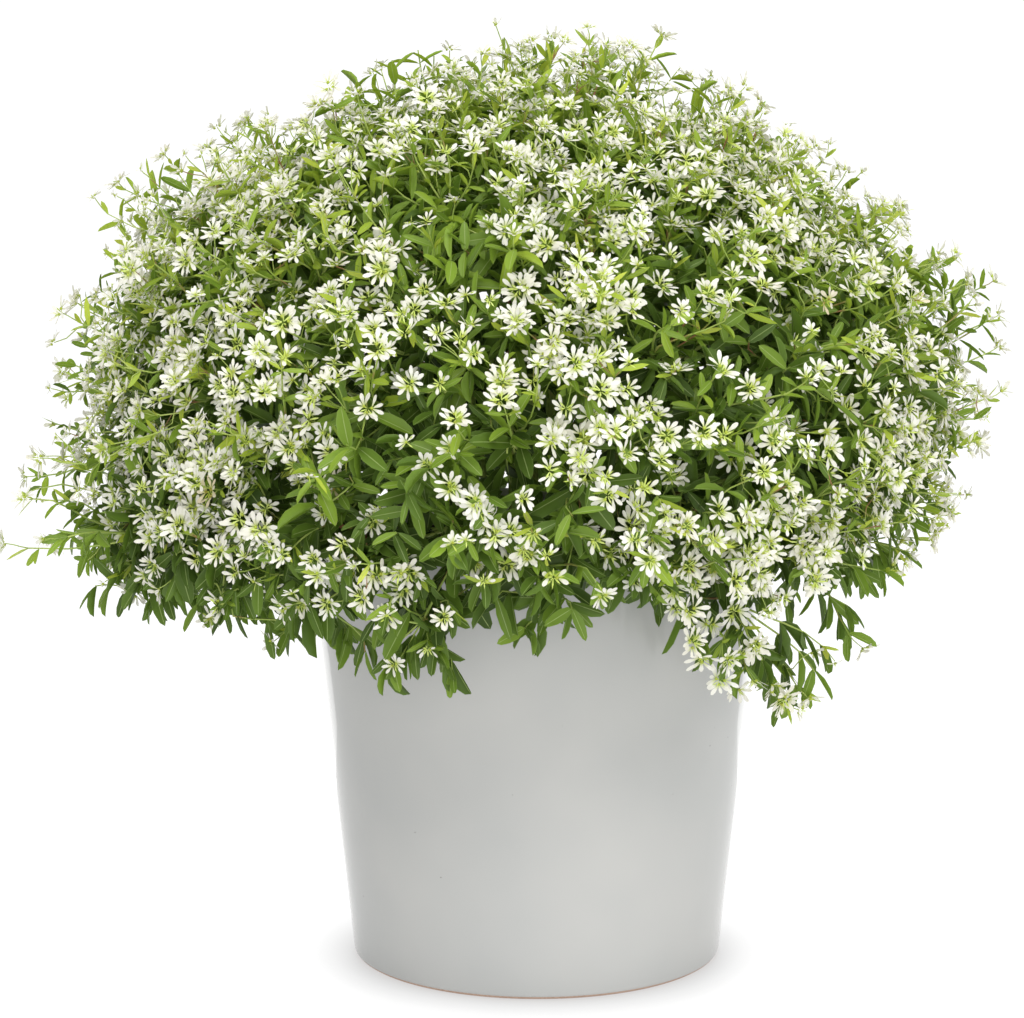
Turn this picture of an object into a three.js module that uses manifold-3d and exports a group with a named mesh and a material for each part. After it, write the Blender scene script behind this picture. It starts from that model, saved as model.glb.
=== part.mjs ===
// A potted white-flowering euphorbia: a mound of thin branching stems in a tall tapered pot.
// Units are millimetres and +Z is up. The origin is the middle of the pot's foot, on the surface that it stands
// on, and the side that the plant is looked at from is -Y.
import * as THREE from "three";
import { mergeVertices } from "three/addons/utils/BufferGeometryUtils.js";
import Module from "manifold-3d";

// The pot: a straight-sided glazed planter, wider at the rim, with a flat unglazed foot.
const POT_HEIGHT = 262;
const POT_RIM_RADIUS = 139;
const POT_FOOT_RADIUS = 111;
const POT_WALL = 7;
const POT_FLOOR = 11;
const FOOT_ROUNDING = 3;
const RIM_ROUNDING = 2.4;
const DRAIN_HOLES = 3;
const DRAIN_HOLE_RADIUS = 6;
const DRAIN_HOLE_RING = 60;
const POT_SIDES = 36;

// The potting mix that the stems stand in.
const SOIL_TOP = POT_HEIGHT - 20;
const SOIL_LUMP_HEIGHT = 1.8;
const HOLE_DEPTH = 34;
const HOLE_SIDES = 5;
const SEAT_GAP = 0.3;

// The mound of foliage is nearly a ball about this point, cut off below by the skirt that hangs round the pot.
const MOUND_CENTRE = new THREE.Vector3(-12, 0, 300);
const MOUND_RADIUS = 290;
const TOP_FLATTENING = 38;
const LOW_LEFT_BULGE = 14;
const RIGHT_BULGE = 12;
const LOW_RIGHT_TUCK = 58;
const SKIRT_HEIGHT = 220;
const SKIRT_LEFT_DROP = 28;
const SKIRT_CORNER_DROP = 22;
const SKIRT_NOTCH_RISE = 24;

// The sprays: rings of stems from the middle outwards, as polar angles from straight up, in degrees.
const SPRAY_RINGS = [
  { polar: 0, count: 1, turn: 0 },
  { polar: 32, count: 6, turn: 12 },
  { polar: 62, count: 8, turn: -8 },
  { polar: 90, count: 9, turn: 18 },
];
const SPRAY_JITTER_DEGREES = 3;
const STEM_RADIUS = 2;
const STEM_STEPS = 3;
const STEM_STRAIGHT = 8;
const STEM_RISE = { middle: 90, edge: 30 };
const STEM_EASE = 0.35;
const STEM_RING_START = 16;
const STEM_RING_SPREAD = 46;
const NODE_CLEARANCE = 0.25;
const MOST_SHARED = 0.01;

// The inner leaves of each spray, in two whorls, as shares of the mound's radius.
const WHORL_BLADES = 8;
const WHORL_BOTTOM = 0.65;
const WHORL_LOWER_RIM = 0.72;
const WHORL_UPPER_RIM = 0.775;
const WHORL_TOP = 0.835;
const WHORL_NOTCH = 0.7;
const WHORL_REACH_DEGREES = 24;
const WHORL_ABOVE_SKIRT = 12;

// The leafy twigs, each with two pairs of opposite leaves at its tip. Leaves and stars are drawn about twice as
// large as life, so that few of them cover the mound.
const LEAF_LAYERS = [
  { count: 112, share: 0.945, spread: 0.03, turn: 2 },
  { count: 98, share: 0.87, spread: 0.015, turn: 3.1 },
];
const LEAF_LENGTH = 56;
const LEAF_WIDTH = 20;
const LEAF_SHORT_PAIR = 0.72;
const LEAF_NOTCH = 3.5;
const LEAF_FOLD = 2.4;
const LEAF_DROOP = 9;
const LEAF_THICKNESS = 2.4;
const LEAF_TILT = 0.28;
const LEAF_TRIES = 14;
const TURN_TO_SKY = 0.2;
const TWIG_RADIUS = 1.3;
const FORK_RADIUS = 6;
const FORK_HEIGHT = 5;
const NECK_RADIUS = 2.6;
const SQUEEZE_IN_SKIRT = 0.5;

// The flower heads: forking stalks from the tip of each stem, with a star of white bracts on each.
const STARS_ROUND = 5;
const STAR_RING = 52;
const STAR_RADIUS = 23;
const STAR_PETALS = 6;
const STAR_WAIST = 0.2;
const STAR_CUP = 3;
const STAR_THICKNESS = 2.2;
const STAR_ABOVE_SKIRT = 6;
const STAR_TRIES = 9;
const STALK_RADIUS = 1.1;
const HEAD_SEAT = 0.885;
const HUB_RADIUS = 3.4;
const HUB_HEIGHT = 4;

const UP = new THREE.Vector3(0, 0, 1);
const FULL_TURN = 2 * Math.PI;
const GOLDEN_ANGLE = Math.PI * (3 - Math.sqrt(5));
const radians = THREE.MathUtils.degToRad;

const wasm = await Module();
wasm.setup();

// Repeatable random numbers from 0 to 1.
function seededRandom(seed) {
  let state = seed;
  return () => {
    state = (state * 1664525 + 1013904223) % 4294967296;
    return state / 4294967296;
  };
}
const random = seededRandom(20);
const between = (low, high) => low + (high - low) * random();

// Solids

function solidOf(geometry) {
  const bare = geometry.index ? geometry.toNonIndexed() : geometry;
  const corners = new THREE.BufferGeometry().setAttribute("position", bare.getAttribute("position"));
  const merged = mergeVertices(corners, 1e-4);
  return new wasm.Manifold(
    new wasm.Mesh({
      numProp: 3,
      vertProperties: new Float32Array(merged.attributes.position.array),
      triVerts: new Uint32Array(merged.index.array),
    }),
  );
}

function meshOf(name, solid, material) {
  const surface = solid.getMesh();
  const geometry = new THREE.BufferGeometry()
    .setAttribute("position", new THREE.BufferAttribute(surface.vertProperties.slice(), 3))
    .setIndex(new THREE.BufferAttribute(surface.triVerts.slice(), 1));
  geometry.computeVertexNormals();
  const mesh = new THREE.Mesh(geometry, material);
  mesh.name = name;
  return mesh;
}

// A solid from its corner points and triangles.
function facetedSolid(points, triangles) {
  const geometry = new THREE.BufferGeometry()
    .setAttribute("position", new THREE.Float32BufferAttribute(points.flatMap((p) => p.toArray()), 3))
    .setIndex(triangles.flat());
  return solidOf(geometry);
}

// A straight rod from one point to another.
function rod(start, end, radius, sides) {
  const along = end.clone().sub(start);
  const geometry = new THREE.CylinderGeometry(radius, radius, along.length(), sides, 1);
  geometry.translate(0, along.length() / 2, 0);
  const lean = new THREE.Quaternion().setFromUnitVectors(new THREE.Vector3(0, 1, 0), along.normalize());
  geometry.applyQuaternion(lean);
  geometry.translate(start.x, start.y, start.z);
  return solidOf(geometry);
}

// The mound

function directionAt(polar, azimuth) {
  const out = Math.sin(polar);
  return new THREE.Vector3(out * Math.cos(azimuth), out * Math.sin(azimuth), Math.cos(polar));
}

const clamp = THREE.MathUtils.clamp;

// The distance from the mound's centre to the tips of the foliage, along a unit direction. The mound is a little
// flat on top, hangs fullest low on the left, swells on the right above its middle and tucks in under that.
function moundRadius({ x, z }) {
  const top = TOP_FLATTENING * Math.max(0, z) ** 2;
  const lowLeft = LOW_LEFT_BULGE * Math.max(0, -x) * clamp((0.15 - z) / 0.25, 0, 1);
  const right = RIGHT_BULGE * Math.max(0, x) * clamp(1 - Math.abs(z - 0.3) / 0.3, 0, 1);
  const lowRight = LOW_RIGHT_TUCK * Math.max(0, x) * clamp((0.06 - z) / 0.35, 0, 1);
  return MOUND_RADIUS - top + lowLeft + right - lowRight;
}

function moundPoint(direction, share) {
  return direction.clone().multiplyScalar(moundRadius(direction) * share).add(MOUND_CENTRE);
}

// How low the skirt hangs: lower on the left and at the front right corner, with a notch between that and the
// middle where the pot shows.
function skirtBottom({ x, y }) {
  const left = SKIRT_LEFT_DROP * Math.max(0, -x);
  const corner = SKIRT_CORNER_DROP * 2 * Math.max(0, x) * Math.max(0, -y);
  const notch = y < 0 ? SKIRT_NOTCH_RISE * Math.exp(-(((x - 0.26) / 0.13) ** 2)) : 0;
  return SKIRT_HEIGHT - left - corner + notch;
}

// Two directions along a surface that faces this way: round it, and up it.
function surfaceFrame(facing) {
  const reference = Math.abs(facing.z) > 0.99 ? new THREE.Vector3(0, 1, 0) : UP;
  const round = reference.clone().cross(facing).normalize();
  const up = facing.clone().cross(round).normalize();
  return { round, up };
}

// The direction that is some angle away from another, on a compass laid on the mound.
function directionBeside(middle, bearing, angle) {
  const { round, up } = surfaceFrame(middle);
  const sideways = round.multiplyScalar(Math.cos(bearing)).addScaledVector(up, Math.sin(bearing));
  return middle.clone().multiplyScalar(Math.cos(angle)).addScaledVector(sideways, Math.sin(angle));
}

// Directions spread evenly over the mound, from the top down to the skirt.
function evenDirections(count, turn) {
  const lowest = (SKIRT_HEIGHT - 10 - MOUND_CENTRE.z) / MOUND_RADIUS;
  return Array.from({ length: count }, (_, i) => {
    const height = 1 - ((1 - lowest) * (i + 0.5)) / count;
    return directionAt(Math.acos(height), i * GOLDEN_ANGLE + turn);
  });
}

// Each spray's direction from the mound's centre.
const sprayDirections = SPRAY_RINGS.flatMap(({ polar, count, turn }) =>
  Array.from({ length: count }, (_, i) => {
    const jitter = polar === 0 ? 0 : SPRAY_JITTER_DEGREES;
    const polarHere = radians(polar + between(-jitter, jitter));
    const azimuthHere = radians((360 * i) / count + turn + between(-jitter, jitter));
    return directionAt(polarHere, azimuthHere);
  }),
);

function nearestSpray(direction) {
  const nearness = sprayDirections.map((middle) => middle.dot(direction));
  return nearness.indexOf(Math.max(...nearness));
}

// How far a point lies inside the part of the mound that is nearest to its own spray. It is negative outside.
function roomInShare(spray, point) {
  const fromCentre = point.clone().sub(MOUND_CENTRE);
  const own = sprayDirections[spray];
  const rooms = sprayDirections.map((other, j) => {
    if (j === spray) return Infinity;
    return fromCentre.dot(own.clone().sub(other).normalize());
  });
  return Math.min(...rooms);
}

// The pot and the potting mix

const potSlope = (POT_RIM_RADIUS - POT_FOOT_RADIUS) / POT_HEIGHT;
const potOuterRadius = (z) => POT_FOOT_RADIUS + potSlope * z;
const potInnerRadius = (z) => potOuterRadius(z) - POT_WALL;

function lathed(profile) {
  const geometry = new THREE.LatheGeometry(profile.map(([r, z]) => new THREE.Vector2(r, z)), POT_SIDES);
  geometry.rotateX(Math.PI / 2);
  return geometry;
}

function potSolid() {
  const belowRim = POT_HEIGHT - RIM_ROUNDING;
  const body = solidOf(
    lathed([
      [0, 0],
      [POT_FOOT_RADIUS - FOOT_ROUNDING, 0],
      [POT_FOOT_RADIUS - 0.8, 0.9],
      [potOuterRadius(FOOT_ROUNDING), FOOT_ROUNDING],
      [potOuterRadius(belowRim), belowRim],
      [POT_RIM_RADIUS - RIM_ROUNDING, POT_HEIGHT],
      [POT_RIM_RADIUS - POT_WALL + RIM_ROUNDING, POT_HEIGHT],
      [potInnerRadius(belowRim), belowRim],
      [potInnerRadius(POT_FLOOR), POT_FLOOR],
      [0, POT_FLOOR],
    ]),
  );
  const holes = Array.from({ length: DRAIN_HOLES }, (_, i) => {
    const turn = (FULL_TURN * (i + 0.25)) / DRAIN_HOLES;
    const x = Math.cos(turn) * DRAIN_HOLE_RING;
    const y = Math.sin(turn) * DRAIN_HOLE_RING;
    return rod(new THREE.Vector3(x, y, -5), new THREE.Vector3(x, y, POT_FLOOR + 5), DRAIN_HOLE_RADIUS, 8);
  });
  return body.subtract(wasm.Manifold.union(holes));
}

// The crumbly surface of the mix.
function soilHeight(x, y) {
  const lumps = Math.sin(x * 0.16 + 1) * Math.cos(y * 0.19) + 0.6 * Math.sin(x * 0.31 - y * 0.27);
  return SOIL_TOP + SOIL_LUMP_HEIGHT * lumps;
}

function soilSolid() {
  const bottom = POT_FLOOR + SEAT_GAP;
  const radiusAt = (z) => potInnerRadius(z) - SEAT_GAP - 0.1;
  const topRadius = radiusAt(SOIL_TOP);
  const geometry = lathed([
    [0, bottom],
    [radiusAt(bottom), bottom],
    [topRadius, SOIL_TOP],
    [topRadius * 0.55, SOIL_TOP],
    [0, SOIL_TOP],
  ]);
  const position = geometry.getAttribute("position");
  for (let i = 0; i < position.count; i++) {
    const x = position.getX(i);
    const y = position.getY(i);
    const onTop = position.getZ(i) > SOIL_TOP - 1 && Math.hypot(x, y) < topRadius - 1;
    if (onTop) position.setZ(i, soilHeight(x, y));
  }
  return solidOf(geometry);
}

// Where each spray's stem goes into the mix: the further a spray leans, the further out its stem stands.
function stemFoot(direction) {
  const lean = direction.angleTo(UP);
  const azimuth = Math.atan2(direction.y, direction.x);
  const radius = lean < 0.01 ? 0 : STEM_RING_START + STEM_RING_SPREAD * lean;
  return new THREE.Vector2(Math.cos(azimuth) * radius, Math.sin(azimuth) * radius);
}

function holeSolid(direction) {
  const foot = stemFoot(direction);
  const radius = (STEM_RADIUS + SEAT_GAP) / Math.cos(Math.PI / HOLE_SIDES) + 0.1;
  const bottom = new THREE.Vector3(foot.x, foot.y, SOIL_TOP - HOLE_DEPTH - SEAT_GAP);
  const top = new THREE.Vector3(foot.x, foot.y, SOIL_TOP + 20);
  return rod(bottom, top, radius, HOLE_SIDES);
}

// Leaves and flowers. Each is first a shell: corner points, and the triangles between them.

// The band of triangles between two rings of corners that turn about one axis. A ring of one corner gives a fan.
function bandBetween(low, high) {
  const bearing = (ring, k) => (k + ring.shift) / ring.points.length;
  const corner = (ring, k) => ring.first + (k % ring.points.length);
  const triangles = [];
  let [i, j] = [0, 0];
  while (i < low.points.length || j < high.points.length) {
    const lowNext = j === high.points.length || bearing(low, i + 1) <= bearing(high, j + 1);
    const stepLow = i < low.points.length && lowNext;
    const [a, b] = [corner(low, i), corner(high, j)];
    const next = stepLow ? corner(low, i + 1) : corner(high, j + 1);
    if (next !== a && next !== b) triangles.push([a, next, b]);
    if (stepLow) i++;
    else j++;
  }
  return triangles;
}

// A closed shell through rings of corners from the bottom to the top, with the band of triangles over each ring.
function loft(rings) {
  let first = 0;
  const numbered = rings.map(({ points, shift = 0 }) => {
    const ring = { points, shift, first };
    first += points.length;
    return ring;
  });
  const bands = numbered.slice(1).map((ring, k) => bandBetween(numbered[k], ring));
  const fan = (ring) => ring.points.slice(2).map((_, k) => [ring.first, ring.first + k + 1, ring.first + k + 2]);
  const bottom = fan(numbered[0]).map(([a, b, c]) => [a, c, b]);
  const top = fan(numbered[numbered.length - 1]);
  const points = rings.flatMap((ring) => ring.points);
  return { points, triangles: [...bottom, ...bands.flat(), ...top], bands, top };
}

// The facets of a shell that stalks can grow from.
function sockets(shell, triangles) {
  return triangles.map((triangle) => {
    const corners = triangle.map((k) => shell.points[k]);
    const normal = new THREE.Triangle(...corners).getNormal(new THREE.Vector3());
    return { corners, normal, taken: false };
  });
}

// Joins shells that meet at whole facets into one solid: where two facets lie face to face, both go.
function stitched(shells) {
  const name = (p) => p.toArray().map((v) => Math.round(v * 1e4)).join();
  const facets = shells.flatMap(({ points, triangles }) => triangles.map((t) => t.map((k) => points[k])));
  const nameOf = (facet) => facet.map(name).sort().join(" ");
  const counts = new Map();
  facets.forEach((facet) => counts.set(nameOf(facet), (counts.get(nameOf(facet)) ?? 0) + 1));
  const kept = facets.filter((facet) => counts.get(nameOf(facet)) === 1);
  return facetedSolid(kept.flat(), kept.map((_, k) => [3 * k, 3 * k + 1, 3 * k + 2]));
}

function ringAbout(centre, facing, radius, count, turn, round = surfaceFrame(facing).round) {
  const up = facing.clone().cross(round).normalize();
  return Array.from({ length: count }, (_, k) => {
    const bearing = (FULL_TURN * k) / count + turn;
    return centre
      .clone()
      .addScaledVector(round, Math.cos(bearing) * radius)
      .addScaledVector(up, Math.sin(bearing) * radius);
  });
}

// The rings of a stem: straight up out of its hole, then over the pot's rim and out to the inner leaves.
function stemRings(middle) {
  const foot = stemFoot(middle);
  const { round } = surfaceFrame(middle);
  const out = new THREE.Vector3(foot.x, foot.y, SOIL_TOP);
  const end = moundPoint(middle, WHORL_BOTTOM);
  const rise = STEM_RISE.edge + (STEM_RISE.middle - STEM_RISE.edge) * Math.max(0, middle.z);
  const bend = new THREE.CubicBezierCurve3(
    new THREE.Vector3(foot.x, foot.y, SOIL_TOP + STEM_STRAIGHT),
    new THREE.Vector3(foot.x, foot.y, SOIL_TOP + STEM_STRAIGHT + rise),
    end.clone().addScaledVector(middle, -STEM_EASE * end.distanceTo(out)),
    end,
  );
  const ringAt = (t) => ({
    points: ringAbout(bend.getPoint(t), bend.getTangent(t), STEM_RADIUS, 4, Math.PI / 4, round),
    shift: 0.5,
  });
  const bottom = new THREE.Vector3(foot.x, foot.y, SOIL_TOP - HOLE_DEPTH);
  const planted = { points: ringAbout(bottom, UP, STEM_RADIUS, 4, Math.PI / 4, round), shift: 0.5 };
  return [planted, ...Array.from({ length: STEM_STEPS + 1 }, (_, k) => ringAt(k / STEM_STEPS))];
}

// The stem of one spray with its inner leaves: two whorls of pointed blades round the tip of its stem, the lower
// one seen through the gaps of the upper one, then the node that the twigs fork from and the stalk up to the flower
// head.
function sprayShell(spray) {
  const middle = sprayDirections[spray];
  const corners = 2 * WHORL_BLADES;
  const upper = [];
  const lower = [];
  for (let k = 0; k < corners; k++) {
    const bearing = (FULL_TURN * (k + between(-0.2, 0.2))) / corners;
    const fits = (angle) => {
      const direction = directionBeside(middle, bearing, angle);
      const rim = moundPoint(direction, WHORL_UPPER_RIM);
      return roomInShare(spray, rim) > 1 && rim.z > skirtBottom(direction) + WHORL_ABOVE_SKIRT;
    };
    let reach = radians(WHORL_REACH_DEGREES);
    while (!fits(reach)) reach *= 0.96;
    const notch = reach * WHORL_NOTCH;
    const lump = between(0.98, 1.02);
    upper.push(moundPoint(directionBeside(middle, bearing, k % 2 ? notch : reach), WHORL_UPPER_RIM * lump));
    lower.push(moundPoint(directionBeside(middle, bearing, k % 2 ? reach * 0.96 : notch), WHORL_LOWER_RIM * lump));
  }
  const fork = moundPoint(middle, WHORL_TOP);
  const neck = fork.clone().addScaledVector(middle, FORK_HEIGHT);
  const seat = moundPoint(middle, HEAD_SEAT).addScaledVector(middle, -SEAT_GAP);
  const eighth = FULL_TURN / 8;
  const shell = loft([
    ...stemRings(middle),
    { points: lower },
    { points: upper },
    { points: ringAbout(fork, middle, FORK_RADIUS, 8, eighth / 2), shift: 0.5 },
    { points: ringAbout(neck, middle, NECK_RADIUS, 4, eighth), shift: 0.5 },
    { points: ringAbout(seat, middle, NECK_RADIUS, 4, eighth), shift: 0.5 },
  ]);
  return { ...shell, sockets: sockets(shell, shell.bands[STEM_STEPS + 4]) };
}

// The little knob that the stalks of one flower head fork from.
function hubShell(spray, turn) {
  const middle = sprayDirections[spray];
  const seat = moundPoint(middle, HEAD_SEAT);
  const crown = seat.clone().addScaledVector(middle, HUB_HEIGHT);
  const shell = loft([
    { points: ringAbout(seat, middle, HUB_RADIUS, 4, turn - Math.PI / 4) },
    { points: ringAbout(crown, middle, HUB_RADIUS * 0.6, 3, turn), shift: 0.4 },
  ]);
  return { ...shell, sockets: sockets(shell, [...shell.bands[0], ...shell.top]) };
}

// A ring of thin blades about a centre, as one shell with the stalk that grows from a socket.
// Each rim point is an angle from straight down, a reach out from the centre and a rise towards the viewer.
function bladesOnStalk({ centre, facing, turn, rim, thickness, socket, stalkRadius }) {
  const { round, up } = surfaceFrame(facing);
  const out = (angle) =>
    round.clone().multiplyScalar(Math.sin(angle + turn)).addScaledVector(up, -Math.cos(angle + turn));
  const under = centre.clone().addScaledVector(facing, -thickness / 2);
  const neck = [0, 1, 2].map((j) => {
    const angle = (FULL_TURN * (j + 0.5)) / 3 - Math.PI;
    return under.clone().addScaledVector(out(angle), stalkRadius);
  });
  const turned = (n) => [0, 1, 2].map((j) => socket.corners[(j + n) % 3]);
  const twist = (n) => turned(n).reduce((sum, corner, j) => sum + corner.distanceTo(neck[j]), 0);
  const foot = turned([0, 1, 2].sort((a, b) => twist(a) - twist(b))[0]);
  const blades = rim.map(({ angle, reach, rise }) =>
    centre.clone().addScaledVector(out(angle), reach).addScaledVector(facing, rise),
  );
  const points = [...neck, ...foot, centre.clone().addScaledVector(facing, thickness / 2), ...blades];
  const [top, first] = [6, 7];
  const sector = (k) => Math.min(2, Math.floor(((rim[k].angle + Math.PI) * 3) / FULL_TURN));
  const triangles = [[3, 5, 4]];
  rim.forEach((_, k) => {
    const next = (k + 1) % rim.length;
    const [a, b] = [sector(k), sector(next)];
    triangles.push([first + k, first + next, top], [first + next, first + k, a]);
    if (a !== b) triangles.push([first + next, a, b]);
  });
  [0, 1, 2].forEach((a) => {
    const b = (a + 1) % 3;
    triangles.push([b, a, 3 + a], [b, 3 + a, 3 + b]);
  });
  return { points, triangles };
}

// The rim of two pairs of opposite leaves seen from the tip of their twig. In the skirt they hang together.
function leafRim(length, hang) {
  const rim = [];
  [-135, -45, 45, 135].forEach((degrees, k) => {
    const middle = radians(degrees);
    const own = length * (k % 2 ? 1 : LEAF_SHORT_PAIR) * between(0.9, 1.1);
    const half = Math.atan(LEAF_WIDTH / LEAF_LENGTH);
    const bend = k % 2 ? -LEAF_DROOP : LEAF_DROOP * 0.4;
    rim.push({ angle: middle - Math.PI / 4, reach: LEAF_NOTCH, rise: 0 });
    rim.push({ angle: middle - half, reach: own * 0.5, rise: LEAF_FOLD + bend * 0.3 });
    rim.push({ angle: middle, reach: own, rise: bend });
    rim.push({ angle: middle + half, reach: own * 0.5, rise: LEAF_FOLD + bend * 0.3 });
  });
  const squeeze = 1 - SQUEEZE_IN_SKIRT * hang;
  return rim.map((point, k) => (k === 0 ? point : { ...point, angle: point.angle * squeeze }));
}

// The rim of a star of bracts: narrow at the waist and blunt at the tips.
function starRim(radius) {
  const step = FULL_TURN / STAR_PETALS;
  return Array.from({ length: STAR_PETALS }, (_, k) => {
    const start = -Math.PI + k * step;
    const reach = radius * between(0.84, 1);
    return [
      { angle: start, reach: radius * STAR_WAIST, rise: 0 },
      { angle: start + step * 0.3, reach, rise: STAR_CUP },
      { angle: start + step * 0.7, reach, rise: STAR_CUP },
    ];
  }).flat();
}

// Putting the plant together. Each piece that is placed is kept with the name of the node it belongs to. A new
// piece is turned, made smaller or left out where it would cross its own node or come too near another.
const placed = [];

function isClear(node, solid) {
  const box = solid.boundingBox();
  return placed.every((other) => {
    const room = (axis) => Math.max(box.min[axis] - other.box.max[axis], other.box.min[axis] - box.max[axis]);
    if (Math.max(room(0), room(1), room(2)) > NODE_CLEARANCE) return true;
    if (other.node === node) return solid.intersect(other.solid).volume() < MOST_SHARED;
    return solid.minGap(other.solid, NODE_CLEARANCE + 0.1) > NODE_CLEARANCE;
  });
}

function place(node, solid, shell) {
  placed.push({ node, solid, shell, box: solid.boundingBox() });
}

// Grows blades from whichever free socket faces their centre best, if they can be turned to be clear.
function grow(node, socketsHere, centre, tries, makeShell) {
  const fork = socketsHere[0].corners[0];
  const way = centre.clone().sub(fork).normalize();
  const free = socketsHere.filter((socket) => !socket.taken && socket.normal.dot(way) > 0.2);
  free.sort((a, b) => b.normal.dot(way) - a.normal.dot(way));
  for (let k = 0; k < tries; k++) {
    for (const socket of free.slice(0, 3)) {
      const shell = makeShell(k, socket);
      const solid = facetedSolid(shell.points, shell.triangles);
      if (!isClear(node, solid)) continue;
      socket.taken = true;
      place(node, solid, shell);
      return;
    }
  }
}

const labelOf = (spray) => String(spray + 1).padStart(2, "0");
const leafyNode = (spray) => `leafy_spray_${labelOf(spray)}`;
const flowerNode = (spray) => `flower_head_${labelOf(spray)}`;

place("pot", potSolid());
const holes = sprayDirections.map((direction) => holeSolid(direction));
place("potting_mix", soilSolid().subtract(wasm.Manifold.union(holes)));

const forks = sprayDirections.map((_, spray) => {
  const shell = sprayShell(spray);
  place(leafyNode(spray), facetedSolid(shell.points, shell.triangles), shell);
  return shell.sockets;
});

// A flower head: one star near the middle and a ring of them round it.
function growStar(spray, hub, direction, share) {
  const centre = moundPoint(direction, share);
  if (centre.z < skirtBottom(direction) + STAR_ABOVE_SKIRT) return;
  const facing = direction.clone().addScaledVector(UP, TURN_TO_SKY).normalize();
  const turn = between(0, FULL_TURN);
  grow(flowerNode(spray), hub.sockets, centre, STAR_TRIES, (k, socket) =>
    bladesOnStalk({
      centre,
      facing,
      turn: turn + k * 0.3,
      rim: starRim(STAR_RADIUS * (1 - 0.05 * k)),
      thickness: STAR_THICKNESS,
      socket,
      stalkRadius: STALK_RADIUS,
    }),
  );
}

sprayDirections.forEach((middle, spray) => {
  const turn = between(0, FULL_TURN);
  const hub = hubShell(spray, turn);
  place(flowerNode(spray), facetedSolid(hub.points, hub.triangles), hub);
  growStar(spray, hub, directionBeside(middle, turn, radians(2)), between(0.97, 1.01));
  for (let k = 0; k < STARS_ROUND; k++) {
    const bearing = turn + (FULL_TURN * (k + between(-0.12, 0.12))) / STARS_ROUND;
    const angle = (STAR_RING * between(0.85, 1.15)) / MOUND_RADIUS;
    growStar(spray, hub, directionBeside(middle, bearing, angle), between(0.94, 1));
  }
});

// Leafy twigs, from the fork of the nearest spray to the layer that their leaves lie in.
LEAF_LAYERS.forEach(({ count, share, spread, turn }) => {
  evenDirections(count, turn).forEach((direction) => {
    const spray = nearestSpray(direction);
    const centre = moundPoint(direction, share + between(-spread, spread));
    const hang = clamp((0.45 - direction.z) / 0.6, 0, 1);
    const firstTurn = between(-1, 1) * Math.PI * (1 - hang) + between(-0.3, 0.3);
    const tilt = directionAt(between(0, Math.PI), between(0, FULL_TURN));
    const facing = direction.clone().addScaledVector(tilt, LEAF_TILT).addScaledVector(UP, TURN_TO_SKY).normalize();
    grow(leafyNode(spray), forks[spray], centre, LEAF_TRIES, (k, socket) => {
      const length = LEAF_LENGTH * between(0.92, 1.08) * (1 - 0.035 * k);
      return bladesOnStalk({
        centre,
        facing,
        turn: firstTurn + (k % 2 ? 1 : -1) * k * 0.12 * (1 - 0.6 * hang),
        rim: leafRim(length, hang),
        thickness: LEAF_THICKNESS,
        socket,
        stalkRadius: TWIG_RADIUS,
      });
    });
  });
});

const glaze = new THREE.MeshStandardMaterial({ color: 0xd4d5d2, roughness: 0.28, metalness: 0 });
const earth = new THREE.MeshStandardMaterial({ color: 0x3a2c22, roughness: 0.95, metalness: 0 });
const leafGreen = new THREE.MeshStandardMaterial({ color: 0x4f8a2c, roughness: 0.5, metalness: 0 });
const bractWhite = new THREE.MeshStandardMaterial({ color: 0xf2f3ea, roughness: 0.6, metalness: 0 });

const plant = new THREE.Group();
const nodeNames = [...new Set(placed.map((piece) => piece.node))];
nodeNames.forEach((name) => {
  const pieces = placed.filter((piece) => piece.node === name);
  const solid = pieces[0].shell ? stitched(pieces.map((piece) => piece.shell)) : pieces[0].solid;
  const material = { pot: glaze, potting_mix: earth }[name] ?? (name.startsWith("leafy") ? leafGreen : bractWhite);
  plant.add(meshOf(name, solid, material));
});

export default plant;
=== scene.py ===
# %% [markdown]
# # A potted white euphorbia
# The object is a mound of thin, forking stems with small leaves and a haze of tiny white flowers, in a tall glazed
# pot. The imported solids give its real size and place. Here each of them gets the surface and the fine pieces that
# the real one shows. Everything is in metres, and +Z is up.

# %% Load the frame
import math

import bmesh
import bpy
import numpy as np
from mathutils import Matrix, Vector, noise


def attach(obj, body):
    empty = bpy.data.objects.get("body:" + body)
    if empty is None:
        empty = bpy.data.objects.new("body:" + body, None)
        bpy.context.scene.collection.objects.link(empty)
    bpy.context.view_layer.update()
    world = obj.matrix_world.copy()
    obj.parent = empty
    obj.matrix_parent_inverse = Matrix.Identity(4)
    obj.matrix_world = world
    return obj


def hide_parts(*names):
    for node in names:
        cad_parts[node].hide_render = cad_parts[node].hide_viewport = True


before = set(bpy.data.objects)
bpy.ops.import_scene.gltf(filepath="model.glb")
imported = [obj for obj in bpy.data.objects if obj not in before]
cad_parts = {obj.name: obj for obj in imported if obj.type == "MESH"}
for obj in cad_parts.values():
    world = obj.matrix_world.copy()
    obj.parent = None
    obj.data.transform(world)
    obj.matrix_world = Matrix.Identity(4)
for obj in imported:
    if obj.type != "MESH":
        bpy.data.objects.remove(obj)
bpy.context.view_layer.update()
MM = 0.001
UP = np.array([0.0, 0.0, 1.0])

# %% [markdown]
# ## Colours and shader nodes
# A colour picked from a photograph is in sRGB, and a shader wants it linear, so one function turns it. One more adds
# a node, sets it and links it, and a third starts a material, which keeps each one below down to a few lines.

# %% Helpers for materials
def linear(hex_colour):
    channels = [int(hex_colour[k : k + 2], 16) / 255 for k in (1, 3, 5)]
    return [c / 12.92 if c <= 0.04045 else ((c + 0.055) / 1.055) ** 2.4 for c in channels] + [1.0]


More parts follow.
